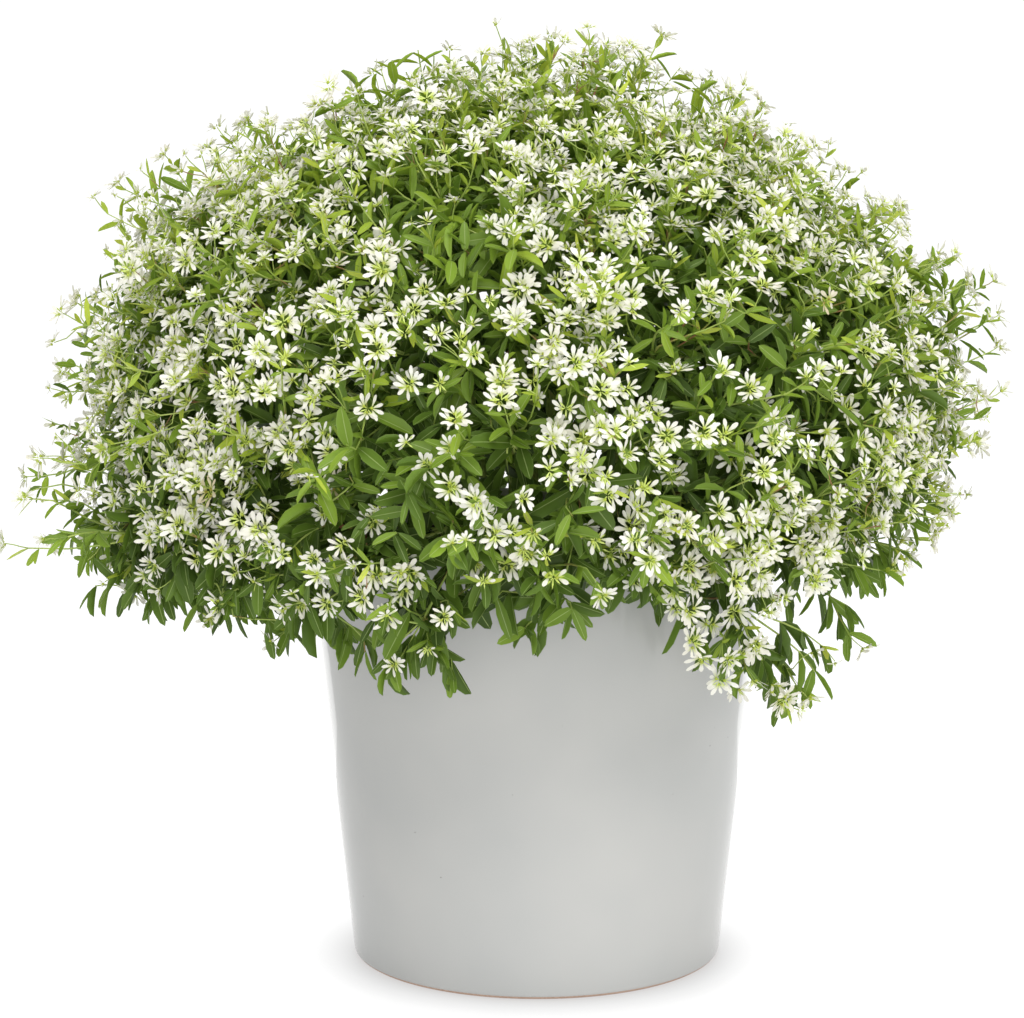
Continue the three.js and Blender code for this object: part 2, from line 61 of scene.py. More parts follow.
def add_node(tree, kind, links=None, stops=None, **settings):
    """Adds a shader node. A setting is a property of the node, or else the value of its input of that name."""
    node = tree.nodes.new("ShaderNode" + kind)
    for name, value in settings.items():
        if hasattr(node, name):
            setattr(node, name, value)
        else:
            node.inputs[name.replace("_", " ")].default_value = value
    for place, hex_colour in stops or []:
        ramp = node.color_ramp.elements
        stop = ramp[0] if place == stops[0][0] else ramp[-1] if place == stops[-1][0] else ramp.new(place)
        stop.position = place
        stop.color = linear(hex_colour)
    for name, source in (links or {}).items():
        tree.links.new(source, node.inputs[name])
    return node


def new_material(name, **settings):
    """A material with one Principled shader. Returns the material, its node tree and the shader."""
    material = bpy.data.materials.new(name)
    material.use_nodes = True
    shader = material.node_tree.nodes["Principled BSDF"]
    for socket, value in settings.items():
        shader.inputs[socket.replace("_", " ")].default_value = value
    return material, material.node_tree, shader


print("linear mid grey:", [round(c, 3) for c in linear("#808080")])

# %% [markdown]
# ## The camera
# The photograph is taken from far away with a long lens, looking a little down, so the pot's sides stay nearly
# straight. The lens is worked out from the distance and from how wide the photograph is at the pot. Turned round, the
# same numbers say which place in space the photograph shows at one of its pixels, once its depth is known.

# %% Place the camera
PHOTO_WIDTH_PX = 1024
PHOTO_HEIGHT_PX = 1018
PIXEL_AT_POT = 0.6 * MM
CAMERA_DISTANCE = 2.2
CAMERA_PITCH = math.radians(9.7)
CAMERA_TARGET = Vector((-0.015, 0, 0.2715))
SENSOR_WIDTH = 36


def add_object(name, data):
    thing = bpy.data.objects.new(name, data)
    bpy.context.scene.collection.objects.link(thing)
    return thing


camera = add_object("camera", bpy.data.cameras.new("camera"))
camera.data.sensor_width = SENSOR_WIDTH
camera.data.lens = SENSOR_WIDTH * CAMERA_DISTANCE / (PHOTO_WIDTH_PX * PIXEL_AT_POT)
camera.location = CAMERA_TARGET + CAMERA_DISTANCE * Vector((0, -math.cos(CAMERA_PITCH), math.sin(CAMERA_PITCH)))
camera.rotation_euler = (math.radians(90) - CAMERA_PITCH, 0, 0)
bpy.context.scene.camera = camera

EYE = np.array(camera.location)
LOOK = np.array([0, math.cos(CAMERA_PITCH), -math.sin(CAMERA_PITCH)])
LOOK_UP = np.array([0, math.sin(CAMERA_PITCH), math.cos(CAMERA_PITCH)])
PIXEL_SLOPE = PIXEL_AT_POT / CAMERA_DISTANCE


def seen_at(px, py, forward):
    """The place that a pixel shows, on the upright plane that many mm in front of the pot's axis."""
    right, up = (px - PHOTO_WIDTH_PX / 2) * PIXEL_SLOPE, (PHOTO_HEIGHT_PX / 2 - py) * PIXEL_SLOPE
    ray = LOOK + LOOK_UP * up + np.array([right, 0, 0])
    return EYE + ray * (-forward * MM - EYE[1]) / ray[1]


def pixel_of(place):
    """The pixel that shows a place."""
    way = place - EYE
    depth = (way @ LOOK) * PIXEL_SLOPE
    return PHOTO_WIDTH_PX / 2 + way[0] / depth, PHOTO_HEIGHT_PX / 2 - (way @ LOOK_UP) / depth


print("lens in mm:", round(camera.data.lens, 1), "pot's foot in pixels:", pixel_of(np.zeros(3)))

# %% [markdown]
# ## The pot
# The real pot is thrown or cast stoneware with a smooth pale glaze. Any round pot is one profile turned about its
# axis, so the profile's points are joined by edges and spun. The last step of the spin is merged with the first, and
# the poles are closed by merging the points that meet on the axis. A bevel then softens the foot and the rim.

# %% Turn a profile, and make an object of it
def spun(profile, steps):
    """A closed shell: a profile of (radius, height) points, turned about the Z axis."""
    bm = bmesh.new()
    verts = [bm.verts.new((radius, 0, height)) for radius, height in profile]
    edges = [bm.edges.new(pair) for pair in zip(verts, verts[1:])]
    bmesh.ops.spin(
        bm, geom=verts + edges, cent=(0, 0, 0), axis=(0, 0, 1), angle=2 * math.pi, steps=steps, use_merge=True
    )
    bmesh.ops.remove_doubles(bm, verts=bm.verts, dist=1e-6)
    bmesh.ops.recalc_face_normals(bm, faces=bm.faces)
    return bm


def object_from(bm, name, *materials):
    mesh = bpy.data.meshes.new(name)
    bm.to_mesh(mesh)
    bm.free()
    for material in materials:
        mesh.materials.append(material)
    return add_object(name, mesh)


print("a spun disc has", len(spun([(0, 0), (1, 0)], 8).faces), "faces in 8 steps")

# %% Spin the pot
POT_HEIGHT = 262 * MM
POT_RIM_RADIUS = 139 * MM
POT_FOOT_RADIUS = 111 * MM
POT_FLARE = POT_RIM_RADIUS - POT_FOOT_RADIUS
POT_WALL = 7 * MM
POT_FLOOR = 11 * MM
FOOT_ROUNDING = 3.2 * MM
RIM_ROUNDING = 2.6 * MM
BARE_FOOT_HEIGHT = 1.6 * MM
POT_STEPS = 128

pot_bm = spun(
    [
        (0, 0),
        (POT_FOOT_RADIUS * 0.5, 0),
        (POT_FOOT_RADIUS, 0),
        (POT_FOOT_RADIUS + 0.35 * POT_FLARE, 0.35 * POT_HEIGHT),
        (POT_FOOT_RADIUS + 0.7 * POT_FLARE, 0.7 * POT_HEIGHT),
        (POT_RIM_RADIUS, POT_HEIGHT),
        (POT_RIM_RADIUS - POT_WALL, POT_HEIGHT),
        (POT_FOOT_RADIUS - POT_WALL + 1 * MM, POT_FLOOR),
        (0, POT_FLOOR),
    ],
    POT_STEPS,
)
for height, radius, rounding in (
    (0, POT_FOOT_RADIUS, FOOT_ROUNDING),
    (POT_HEIGHT, POT_RIM_RADIUS, RIM_ROUNDING),
    (POT_HEIGHT, POT_RIM_RADIUS - POT_WALL, RIM_ROUNDING),
):
    on_corner = [
        edge
        for edge in pot_bm.edges
        if all(abs(v.co.z - height) < 1e-5 and abs(v.co.xy.length - radius) < 1e-5 for v in edge.verts)
    ]
    bmesh.ops.bevel(pot_bm, geom=on_corner, offset=rounding, segments=4, profile=0.5, affect="EDGES", material=-1)
print("pot faces:", len(pot_bm.faces))

# %% [markdown]
# ## The pot's glaze
# A white tin glaze over stoneware, dipped and fired. It pools and pulls a little as it melts, which the eye reads as
# the faint orange peel in its reflections, and iron in the clay burns through as a few pinhead specks. Its colour
# drifts slightly where the coat is thinner. The foot is wiped bare so that it doesn't stick in the kiln: there the
# clay shows as a thin warm line.

# %% Glaze and bare clay
ORANGE_PEEL = 5 * MM
GLAZE_DRIFT = 90 * MM
SPECK_SPACING = 16 * MM
CLAY_GRAIN = 1.2 * MM

glaze, tree, shader = new_material("fired_tin_glaze", Roughness=0.08, IOR=1.45)
place = add_node(tree, "TexCoord").outputs["Object"]
drift = add_node(tree, "TexNoise", {"Vector": place}, Scale=1 / GLAZE_DRIFT, Detail=2.0)
coat = add_node(tree, "ValToRGB", {"Fac": drift.outputs["Fac"]}, stops=[(0.3, "#B1B2B0"), (0.7, "#B9B9B6")])
cells = add_node(tree, "TexVoronoi", {"Vector": place}, Scale=1 / SPECK_SPACING)
speck = add_node(tree, "ValToRGB", {"Fac": cells.outputs["Distance"]}, stops=[(0.012, "#8A7F74"), (0.03, "#FFFFFF")])
layers = {"A": coat.outputs["Color"], "B": speck.outputs["Color"]}
speckled = add_node(tree, "Mix", layers, data_type="RGBA", blend_type="MULTIPLY", Factor=1.0)
tree.links.new(speckled.outputs["Result"], shader.inputs["Base Color"])
peel = add_node(tree, "TexNoise", {"Vector": place}, Scale=1 / ORANGE_PEEL, Detail=1.0)
bump = add_node(tree, "Bump", {"Height": peel.outputs["Fac"]}, Strength=0.35, Distance=0.06 * MM)
tree.links.new(bump.outputs["Normal"], shader.inputs["Normal"])

bare_clay, tree, shader = new_material("bare_stoneware", Roughness=0.8)
place = add_node(tree, "TexCoord").outputs["Object"]
grain = add_node(tree, "TexNoise", {"Vector": place}, Scale=1 / CLAY_GRAIN, Detail=4.0)
clay = add_node(tree, "ValToRGB", {"Fac": grain.outputs["Fac"]}, stops=[(0.3, "#A98A78"), (0.7, "#C4A794")])
tree.links.new(clay.outputs["Color"], shader.inputs["Base Color"])

for face in pot_bm.faces:
    face.smooth = True
    face.material_index = 1 if face.calc_center_median().z < BARE_FOOT_HEIGHT else 0
pot = object_from(pot_bm, "glazed_pot", glaze, bare_clay)
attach(pot, "root")
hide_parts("pot")
print("pot height in mm:", round(pot.dimensions.z / MM, 1))

# %% [markdown]
# ## The potting mix
# Peat, bark crumbs and a little white perlite fill the pot to a finger's width below the rim. The foliage hides it
# from the side, but it shows from above through gaps. It starts as one more spun profile with many rings on top, and
# a noise pushes those rings up and down into crumbs.

# %% Spin and crumble the mix
SOIL_TOP = POT_HEIGHT - 20 * MM
SOIL_GAP = 0.4 * MM
SOIL_RINGS = 26
SOIL_STEPS = 96
CRUMB = 7 * MM
CRUMB_HEIGHT = 3.5 * MM
FINE_CRUMB = 2.5 * MM
FINE_CRUMB_HEIGHT = 1.5 * MM
BARK_GRAIN = 3 * MM

soil_radius = POT_FOOT_RADIUS - POT_WALL + POT_FLARE * SOIL_TOP / POT_HEIGHT - SOIL_GAP
soil_bm = spun(
    [(0, POT_FLOOR + SOIL_GAP), (POT_FOOT_RADIUS - POT_WALL + 0.6 * MM, POT_FLOOR + SOIL_GAP)]
    + [(soil_radius * (1 - k / SOIL_RINGS), SOIL_TOP) for k in range(SOIL_RINGS + 1)],
    SOIL_STEPS,
)
for vert in soil_bm.verts:
    if vert.co.z > SOIL_TOP - 1 * MM and vert.co.xy.length < soil_radius - 1 * MM:
        coarse, fine = noise.noise(vert.co / CRUMB), noise.noise(vert.co / FINE_CRUMB)
        vert.co.z += CRUMB_HEIGHT * coarse + FINE_CRUMB_HEIGHT * fine
for face in soil_bm.faces:
    face.smooth = False

peat, tree, shader = new_material("peat_and_bark_mix", Roughness=0.95)
place = add_node(tree, "TexCoord").outputs["Object"]
crumbs = add_node(tree, "TexVoronoi", {"Vector": place}, Scale=1 / BARK_GRAIN)
earth_stops = [(0.0, "#1B130E"), (0.55, "#3A2A20"), (0.93, "#5A4634"), (0.985, "#CFC8BC")]
earth = add_node(tree, "ValToRGB", {"Fac": crumbs.outputs["Color"]}, stops=earth_stops)
tree.links.new(earth.outputs["Color"], shader.inputs["Base Color"])
rough = add_node(tree, "Bump", {"Height": crumbs.outputs["Distance"]}, Strength=0.8, Distance=1 * MM)
tree.links.new(rough.outputs["Normal"], shader.inputs["Normal"])
soil = object_from(soil_bm, "peat_mix", peat)
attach(soil, "root")
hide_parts("potting_mix")
print("mix top radius in mm:", round(soil_radius / MM, 1))

# %% [markdown]
# ## The form of the mound
# The fine plant grows on the same form as the solids: nearly a ball about one centre, a little flat on top, fuller
# low on the left, and cut off below by a skirt that hangs round the pot. Directions from that centre are unit
# vectors, and a share of 1 is the mound's skin.

# %% The mound as functions of direction
MOUND_CENTRE = np.array([-12, 0, 300]) * MM
MOUND_RADIUS = 290 * MM
TOP_FLATTENING = 38 * MM
LOW_LEFT_BULGE = 14 * MM
RIGHT_BULGE = 12 * MM
LOW_RIGHT_TUCK = 58 * MM
SKIRT_HEIGHT = 220 * MM
SKIRT_LEFT_DROP = 18 * MM
SKIRT_CORNER_DROP = 22 * MM
SKIRT_NOTCH_RISE = 24 * MM


def unit(v):
    return v / np.linalg.norm(v, axis=-1, keepdims=True)


def direction_at(polar, azimuth):
    return np.array([math.sin(polar) * math.cos(azimuth), math.sin(polar) * math.sin(azimuth), math.cos(polar)])


def mound_radius(direction):
    x, _, z = direction
    top = TOP_FLATTENING * max(0, z) ** 2
    low_left = LOW_LEFT_BULGE * max(0, -x) * min(1, max(0, (0.15 - z) / 0.25))
    right = RIGHT_BULGE * max(0, x) * max(0, 1 - abs(z - 0.3) / 0.3)
    low_right = LOW_RIGHT_TUCK * max(0, x) * min(1, max(0, (0.06 - z) / 0.35))
    return MOUND_RADIUS - top + low_left + right - low_right


def mound_point(direction, share):
    return MOUND_CENTRE + direction * mound_radius(direction) * share


def skirt_bottom(direction):
    x, y, _ = direction
    left = SKIRT_LEFT_DROP * max(0, -x)
    corner = SKIRT_CORNER_DROP * 2 * max(0, x) * max(0, -y)
    notch = SKIRT_NOTCH_RISE * math.exp(-(((x - 0.26) / 0.13) ** 2)) if y < 0 else 0
    return SKIRT_HEIGHT - left - corner + notch


print("mound radius to the right in mm:", round(mound_radius(np.array([1, 0, 0])) / MM, 1))

# %% [markdown]
# ## Where the sprays stand
# The solids have one stem for each spray, in rings from the middle outwards, each turned a little at random. The same
# rule with the same seed gives the same directions here, so each fine spray grows in the place of its own solid.

# %% The directions of the sprays
SPRAY_RINGS = [(0, 1, 0), (32, 6, 12), (62, 8, -8), (90, 9, 18)]
SPRAY_JITTER = 3
SPRAY_SEED = 20


def draws(state):
    while True:
        state = (state * 1664525 + 1013904223) % 4294967296
        yield state / 4294967296


draw = draws(SPRAY_SEED)
spray_directions = []
for polar, count, turn in SPRAY_RINGS:
    jitter = SPRAY_JITTER if polar else 0
    for k in range(count):
        tilt = polar + jitter * (2 * next(draw) - 1)
        azimuth = 360 * k / count + turn + jitter * (2 * next(draw) - 1)
        spray_directions.append(direction_at(math.radians(tilt), math.radians(azimuth)))
spray_directions = np.array(spray_directions)
print("sprays:", len(spray_directions))

# %% [markdown]
# ## Copies of small shapes
# The plant has thousands of leaves and bracts, all alike but for size, turn and shade. Each kind is modelled once
# with bmesh operators and read into plain arrays. Copies of it are then laid out with matrix arithmetic, which is far
# faster than as many objects. Every copy keeps a number called tone, from 0 to 1, which its material turns to a shade.

# %% Read a shape and stamp copies of it
def as_arrays(bm, slot=0, tone=0.0):
    uv = bm.loops.layers.uv.active
    loops = [loop for face in bm.faces for loop in face.loops]
    bm.verts.index_update()
    return {
        "points": np.array([v.co for v in bm.verts]),
        "corners": np.array([loop.vert.index for loop in loops]),
        "sizes": np.array([len(face.verts) for face in bm.faces]),
        "uv": np.array([loop[uv].uv if uv else (0.5, 0.25) for loop in loops]),
        "slots": np.full(len(bm.faces), slot),
        "tones": np.full(len(bm.verts), float(tone)),
    }


def stamp(shape, places, axes, scales, tones):
    """One copy per place. axes holds a 3x3 matrix a copy, whose columns are the copy's own X, Y and Z."""
    places, axes, scales, tones = (np.asarray(a, dtype=float) for a in (places, axes, scales, tones))
    count, n = len(places), len(shape["points"])
    points = np.einsum("mij,mnj->mni", axes, shape["points"][None] * scales[:, None, :]) + places[:, None, :]
    return {
        "points": points.reshape(-1, 3),
        "corners": (shape["corners"][None] + n * np.arange(count)[:, None]).ravel(),
        "sizes": np.tile(shape["sizes"], count),
        "uv": np.tile(shape["uv"], (count, 1)),
        "slots": np.tile(shape["slots"], count),
        "tones": (shape["tones"][None] + tones[:, None]).ravel(),
    }


def frame_of(along, facing):
    """A 3x3 matrix whose X is along, and whose Z is as near to facing as it can be."""
    x = unit(along)
    z = unit(facing - np.dot(facing, x) * x)
    return np.stack([x, np.cross(z, x), z], axis=1)


print("axes of a copy that stands up, facing the camera:", frame_of(UP, -LOOK).round(2).tolist())

# %% [markdown]
# ## One mesh from many copies
# The stamped arrays are put end to end and handed to a mesh in one go, with the UV map and the tone that the
# materials read. That gives one light mesh for each spray.

# %% Join copies and make a piece
def joined(shapes):
    offsets = np.cumsum([0] + [len(s["points"]) for s in shapes[:-1]])
    merged = {key: np.concatenate([s[key] for s in shapes]) for key in shapes[0] if key != "corners"}
    merged["corners"] = np.concatenate([s["corners"] + offset for s, offset in zip(shapes, offsets)])
    return merged


def piece_from(shape, name, materials):
    mesh = bpy.data.meshes.new(name)
    mesh.vertices.add(len(shape["points"]))
    mesh.vertices.foreach_set("co", shape["points"].ravel())
    mesh.loops.add(len(shape["corners"]))
    mesh.loops.foreach_set("vertex_index", shape["corners"])
    mesh.polygons.add(len(shape["sizes"]))
    mesh.polygons.foreach_set("loop_start", np.cumsum(shape["sizes"]) - shape["sizes"])
    mesh.update(calc_edges=True)
    mesh.polygons.foreach_set("material_index", shape["slots"])
    mesh.polygons.foreach_set("use_smooth", np.ones(len(shape["sizes"]), dtype=bool))
    mesh.uv_layers.new(name="blade").data.foreach_set("uv", shape["uv"].ravel())
    mesh.attributes.new("tone", "FLOAT", "POINT").data.foreach_set("value", shape["tones"])
    mesh.validate()
    for material in materials:
        mesh.materials.append(material)
    return add_object(name, mesh)


print("pieces so far:", pot.name, soil.name)

# %% [markdown]
# ## One leaf and one bract
# Both are thin blades, made from a flat grid that is one long. Its rows are narrowed to the outline, and its tip bends
# down. A leaf is widest at its middle and has a soft point, and its grid has a row of faces either side of the midrib,
# which is sunk for the fold. A white bract is shaped like a spoon: narrow where it joins the flower, and broad and
# round at its end. It is only a few millimetres wide, so one row of faces is enough.

# %% Model the blades
def blade(rows, fold, droop, halves=2, slot=0):
    """A blade 1 long and 1 wide along X. Each row is (place along it, width there)."""
    bm = bmesh.new()
    bm.loops.layers.uv.new("blade")
    bmesh.ops.create_grid(bm, x_segments=len(rows) - 1, y_segments=halves, size=0.5, calc_uvs=True)
    for vert in bm.verts:
        along, width = rows[round((vert.co.x + 0.5) * (len(rows) - 1))]
        side = vert.co.y * 2
        vert.co = (along, side * width / 2, fold * abs(side) * width - droop * along**2)
    bmesh.ops.remove_doubles(bm, verts=bm.verts, dist=1e-4)
    shape = as_arrays(bm, slot)
    bm.free()
    return shape


LEAF_ROWS = [(0, 0), (0.13, 0.48), (0.4, 0.96), (0.71, 0.95), (0.925, 0.56), (1, 0)]
OVATE_ROWS = [(0, 0), (0.12, 0.62), (0.38, 1.0), (0.67, 0.93), (0.91, 0.54), (1, 0)]
BRACT_ROWS = [(0, 0.2), (0.36, 0.62), (0.66, 1.0), (0.88, 0.8), (1, 0.28)]
# Four leaves with their fold and droop: nearly flat, arched, folded and ovate. The last one is the small plain one.
leaf_shapes = [
    blade(LEAF_ROWS, 0.08, 0.05),
    blade(LEAF_ROWS, 0.12, 0.14),
    blade(LEAF_ROWS, 0.22, 0.1),
    blade(OVATE_ROWS, 0.06, 0.12),
    blade([(0, 0.3), (0.35, 1.0), (0.75, 0.85), (1, 0)], 0, 0.12, halves=1),
]
OVATE_LEAF = 3
SMALL_LEAF = 4
bract_shape = blade(BRACT_ROWS, 0, 0.1, halves=1)
sliver_shape = blade([(0, 0.4), (0.6, 1.0), (1, 0)], 0, 0.1, halves=1, slot=1)
print("faces of a leaf:", len(leaf_shapes[0]["sizes"]), "and of a bract:", len(bract_shape["sizes"]))

# %% [markdown]
# ## One flower
# What looks like a flower is a tight cluster of two to four tiny ones. Each has a yellow-green cup with a fan of white
# paddles on its outer side, and the cups stand round the end of the stalk with a few pale green slivers among them. So
# a single cup with its fan is modelled first, then stood in groups. A handful of different groups, each used at many
# sizes and turns, is enough for the eye not to see a repeat.

# %% A cup with its fan of bracts
FLOWER_SEED = 7
BRACT_LENGTH = 8.0 * MM
BRACT_WIDTH = 2.35 * MM
CUP_RADIUS = 0.95 * MM
SLIVER_LENGTH = 5.2 * MM
SLIVER_WIDTH = 1.0 * MM
SLIVER_TILT = 35
rng = np.random.default_rng(FLOWER_SEED)


def fan_of(shape, count, length, width, tilt, spread):
    """Blades round the Z axis, centred on X, each tilted up from level by about tilt degrees."""
    places, axes, scales, tones = [], [], [], []
    for k in range(count):
        turn = spread * ((k + 0.5 + rng.uniform(-0.35, 0.35)) / count - 0.5)
        rise = math.radians(tilt + rng.uniform(-22, 22))
        out = np.array([math.cos(turn), math.sin(turn), 0])
        along = out * math.cos(rise) + UP * math.sin(rise)
        facing = UP * math.cos(rise) - out * math.sin(rise) + rng.normal(0, 0.35, 3)
        size = rng.uniform(0.65, 1.12)
        places.append(out * 0.6 * MM + UP * rng.uniform(0, 1) * MM)
        axes.append(frame_of(along, facing))
        scales.append([length * size, width * rng.uniform(0.8, 1.1), length * size])
        tones.append(rng.uniform(0, 0.14))
    return stamp(shape, places, axes, scales, tones)


def cup_with_fan(bracts, tilt, spread):
    bm = bmesh.new()
    bmesh.ops.create_icosphere(bm, subdivisions=1, radius=CUP_RADIUS)
    bmesh.ops.translate(bm, verts=bm.verts, vec=(0, 0, 0.6 * MM))
    cup = as_arrays(bm, slot=1, tone=0.35)
    bm.free()
    return joined([cup, fan_of(bract_shape, bracts, BRACT_LENGTH, BRACT_WIDTH, tilt, spread)])


# Each kind of cup: its bracts, their tilt in degrees, and how far round they spread in radians.
cups = [cup_with_fan(5, 14, 3.4), cup_with_fan(4, 30, 2.9), cup_with_fan(6, 8, 4.2), cup_with_fan(2, 50, 2.5)]
print("triangles of each cup:", [int((cup["sizes"] - 2).sum()) for cup in cups])

# %% Stand cups in groups
def flower(kinds, apart, slivers, start=0.0):
    """A group of cups round the Z axis, each fan turned outwards."""
    parts = []
    for k, kind in enumerate(kinds):
        turn = start + 2 * math.pi * (k + rng.uniform(-0.15, 0.15)) / len(kinds)
        out = np.array([math.cos(turn), math.sin(turn), 0])
        lean = out + UP * rng.uniform(-0.25, 0.35)
        place = out * apart * MM + UP * rng.uniform(-0.8, 1.4) * MM
        size = rng.uniform(0.85, 1.1)
        parts.append(stamp(cups[kind], [place], [frame_of(lean, UP)], [[size] * 3], [rng.uniform(0, 0.06)]))
    parts.append(fan_of(sliver_shape, slivers, SLIVER_LENGTH, SLIVER_WIDTH, SLIVER_TILT, 2 * math.pi))
    return joined(parts)


# Each kind of flower: its cups, how far out they stand in mm, its slivers, and the turn of its first cup.
flower_shapes = [
    flower([0, 1, 0], 2.4, 5),
    flower([2, 1], 2.0, 5, 0.6),
    flower([0, 0, 1, 1], 2.9, 6),
    flower([2], 0.3, 5, 1.0),
    flower([1, 0], 2.2, 5, 2.0),
    flower([3, 3], 1.8, 8, 0.3),
]
FLOWER_KIND_SHARES = [0.24, 0.2, 0.16, 0.14, 0.14, 0.12]
print("triangles of each flower:", [int((shape["sizes"] - 2).sum()) for shape in flower_shapes])

# %% [markdown]
# ## How the plant forks
# Every stem forks again and again, so the plan is made in three steps: from each spray's stem to a branch, from the
# branch to a twig, and from the twig to the flowers at its tip. Branch and twig ends are spread evenly over the mound
# by the golden angle and then nudged. Outer twigs reach the skin and flower there. Inner twigs stop short of it and
# carry the larger leaves that close the mound, darkened as painted shade. Stems rise towards the light on top and sag
# in the skirt.

# %% Even directions, and paths between places
PLAN_SEED = 31
LOWEST_BELOW_SKIRT = 12 * MM
WAY_SPREAD = 0.27
PATH_EASE = 0.38
GOLDEN_ANGLE = math.pi * (3 - math.sqrt(5))
rng = np.random.default_rng(PLAN_SEED)


def even_directions(count, turn, nudge):
    """Directions spread evenly over the mound, from its top down to the skirt."""
    lowest = (SKIRT_HEIGHT - LOWEST_BELOW_SKIRT - MOUND_CENTRE[2]) / MOUND_RADIUS
    found = []
    for k in range(count):
        height = 1 - (1 - lowest) * (k + 0.5) / count
        level = direction_at(math.acos(height), k * GOLDEN_ANGLE + turn)
        found.append(unit(level + rng.normal(0, nudge, 3)))
    return np.array(found)


def growing_way(direction):
    """The way a tip points: outwards, lifted on top of the mound and sagging in its skirt."""
    lift = 0.5 * direction[2] + 0.05 if direction[2] > -0.1 else 1.6 * direction[2] + 0.16
    return unit(direction + UP * lift + rng.normal(0, WAY_SPREAD, 3))


def curve_point(path, t):
    """The place at a share t of a path, which is a start, two handles and an end."""
    a, b, c, d = path
    s = 1 - t
    return s**3 * a + 3 * s * s * t * b + 3 * s * t * t * c + t**3 * d


def curve_way(path, t):
    a, b, c, d = path
    s = 1 - t
    return unit(s * s * (b - a) + 2 * s * t * (c - b) + t * t * (d - c))


def path_between(start, start_way, end, end_way):
    reach = PATH_EASE * np.linalg.norm(end - start)
    return [start, start + start_way * reach, end - end_way * reach, end]


print("golden angle in degrees:", round(math.degrees(GOLDEN_ANGLE), 1))

# %% Plan the branches
FORK_SHARE = 0.6
BRANCH_COUNT = 190
BRANCH_SHARE = 0.79
BRANCH_CLEARANCE = 30 * MM
BRANCH_NUDGE = 0.03

branches = []
for direction in even_directions(BRANCH_COUNT, 0.7, BRANCH_NUDGE):
    spray = int(np.argmax(spray_directions @ direction))
    middle = spray_directions[spray]
    end = mound_point(direction, BRANCH_SHARE + rng.uniform(-0.03, 0.03))
    end[2] = max(end[2], skirt_bottom(direction) + BRANCH_CLEARANCE)
    path = path_between(mound_point(middle, FORK_SHARE), middle, end, growing_way(direction))
    branches.append({"direction": direction, "spray": spray, "path": path})
branch_directions = np.array([branch["direction"] for branch in branches])
print("branches:", len(branches), "on", len({branch["spray"] for branch in branches}), "sprays")

# %% [markdown]
# ## Where it flowers
# The real mound is whitest in drifts, and greener between them. A smooth noise over the mound gives drifts all
# round, and the ones on the side that is seen are put where the photographed plant has them. Each is a place across
# and down the photograph, how far it reaches, both in pixels, and how much whiter or greener it is there.

# %% The drifts of flowers
FLOWER_DRIFTS = [
    (180, 215, 90, 0.4), (290, 205, 50, 0.35), (512, 75, 60, 0.3), (700, 120, 60, 0.25), (330, 110, 60, 0.25),
    (590, 215, 80, 0.25), (730, 200, 60, 0.2), (160, 300, 60, 0.2), (850, 255, 60, 0.35), (416, 325, 45, 0.5),
    (565, 290, 55, 0.3), (625, 410, 65, 0.4), (190, 400, 75, 0.45), (105, 380, 55, 0.35), (155, 460, 60, 0.5),
    (235, 450, 40, 0.25), (750, 600, 65, 0.4), (845, 510, 60, 0.35), (925, 430, 60, 0.2), (120, 530, 50, 0.2),
    (455, 200, 50, -0.4), (480, 262, 50, -0.7), (680, 262, 45, -0.6), (800, 345, 45, -0.25), (610, 300, 50, 0.25),
    (725, 325, 35, 0.25), (425, 390, 40, -0.1), (745, 390, 50, -0.35), (480, 455, 35, -0.15), (320, 530, 75, -0.35),
    (420, 550, 60, -0.25), (608, 570, 50, -0.35), (550, 520, 40, -0.15),
]
FLOWERING_USUAL = 0.5
FLOWERING_VARIES = 0.4
DRIFTS_PER_RADIUS = 3.2
SKIRT_STARTS = -0.12
SKIRT_FLOWERS_LESS = 0.12


def flowering(direction):
    """How thickly a part of the mound flowers, from 0 to 1."""
    drift = noise.noise(Vector(direction) * DRIFTS_PER_RADIUS + Vector((5, 1, 2)))
    amount = FLOWERING_USUAL + FLOWERING_VARIES * drift
    if direction[1] < 0:
        across, down = pixel_of(mound_point(direction, 0.95))
        for px, py, reach, whiter in FLOWER_DRIFTS:
            amount += whiter * math.exp(-((across - px) ** 2 + (down - py) ** 2) / reach**2)
    if direction[2] < SKIRT_STARTS:
        amount -= SKIRT_FLOWERS_LESS
    return min(1, max(0, amount))


print("flowering at the top:", round(flowering(UP), 2))

# %% [markdown]
# ## Leaves along a twig
# Leaves sit in opposite pairs, and each pair is turned a quarter from the last. A leaf leans out from its stem, its
# upper face to the sky, and the lower it grows on the mound the more it hangs. Young leaves near the tips are small
# and lime green, and old ones inside are long. The green also carries painted shade and light: darker inside and low
# on the mound, and paler on top.

# %% Leaves in pairs
LEAF_LONGEST = 31 * MM
LEAF_WIDTHS = (0.23, 0.33)
OVATE_WIDER = 1.18
LEAF_KIND_SHARES = [0.36, 0.3, 0.16, 0.18]
FACING_SPREAD = 0.36
FACING_SPREAD_HANGING = 0.4
PALEST_PAIR = 0.7
PALER_TO_THE_TIP = 0.16
PALENESS_SPREAD = 0.09
plants = [{"stems": [], "leaves": [], "stalks": [], "flowers": []} for _ in spray_directions]


def add_leaf(plant, at, way, side, direction, length, tone, hang):
    lean = rng.uniform(0.6, 1.4)
    along = unit(way * math.cos(lean) + side * math.sin(lean) - UP * hang * rng.uniform(0.5, 1.6))
    spread = FACING_SPREAD + FACING_SPREAD_HANGING * hang
    facing = UP * (0.6 - 0.35 * hang) + direction * 0.85 + rng.normal(0, spread, 3)
    kind = rng.choice(4, p=LEAF_KIND_SHARES)
    wider = OVATE_WIDER if kind == OVATE_LEAF else 1
    width = length * rng.uniform(*LEAF_WIDTHS) * wider * (1 - 0.15 * max(0, direction[2]))
    plant["leaves"].append((kind, at, frame_of(along, facing), [length, width, length], tone))


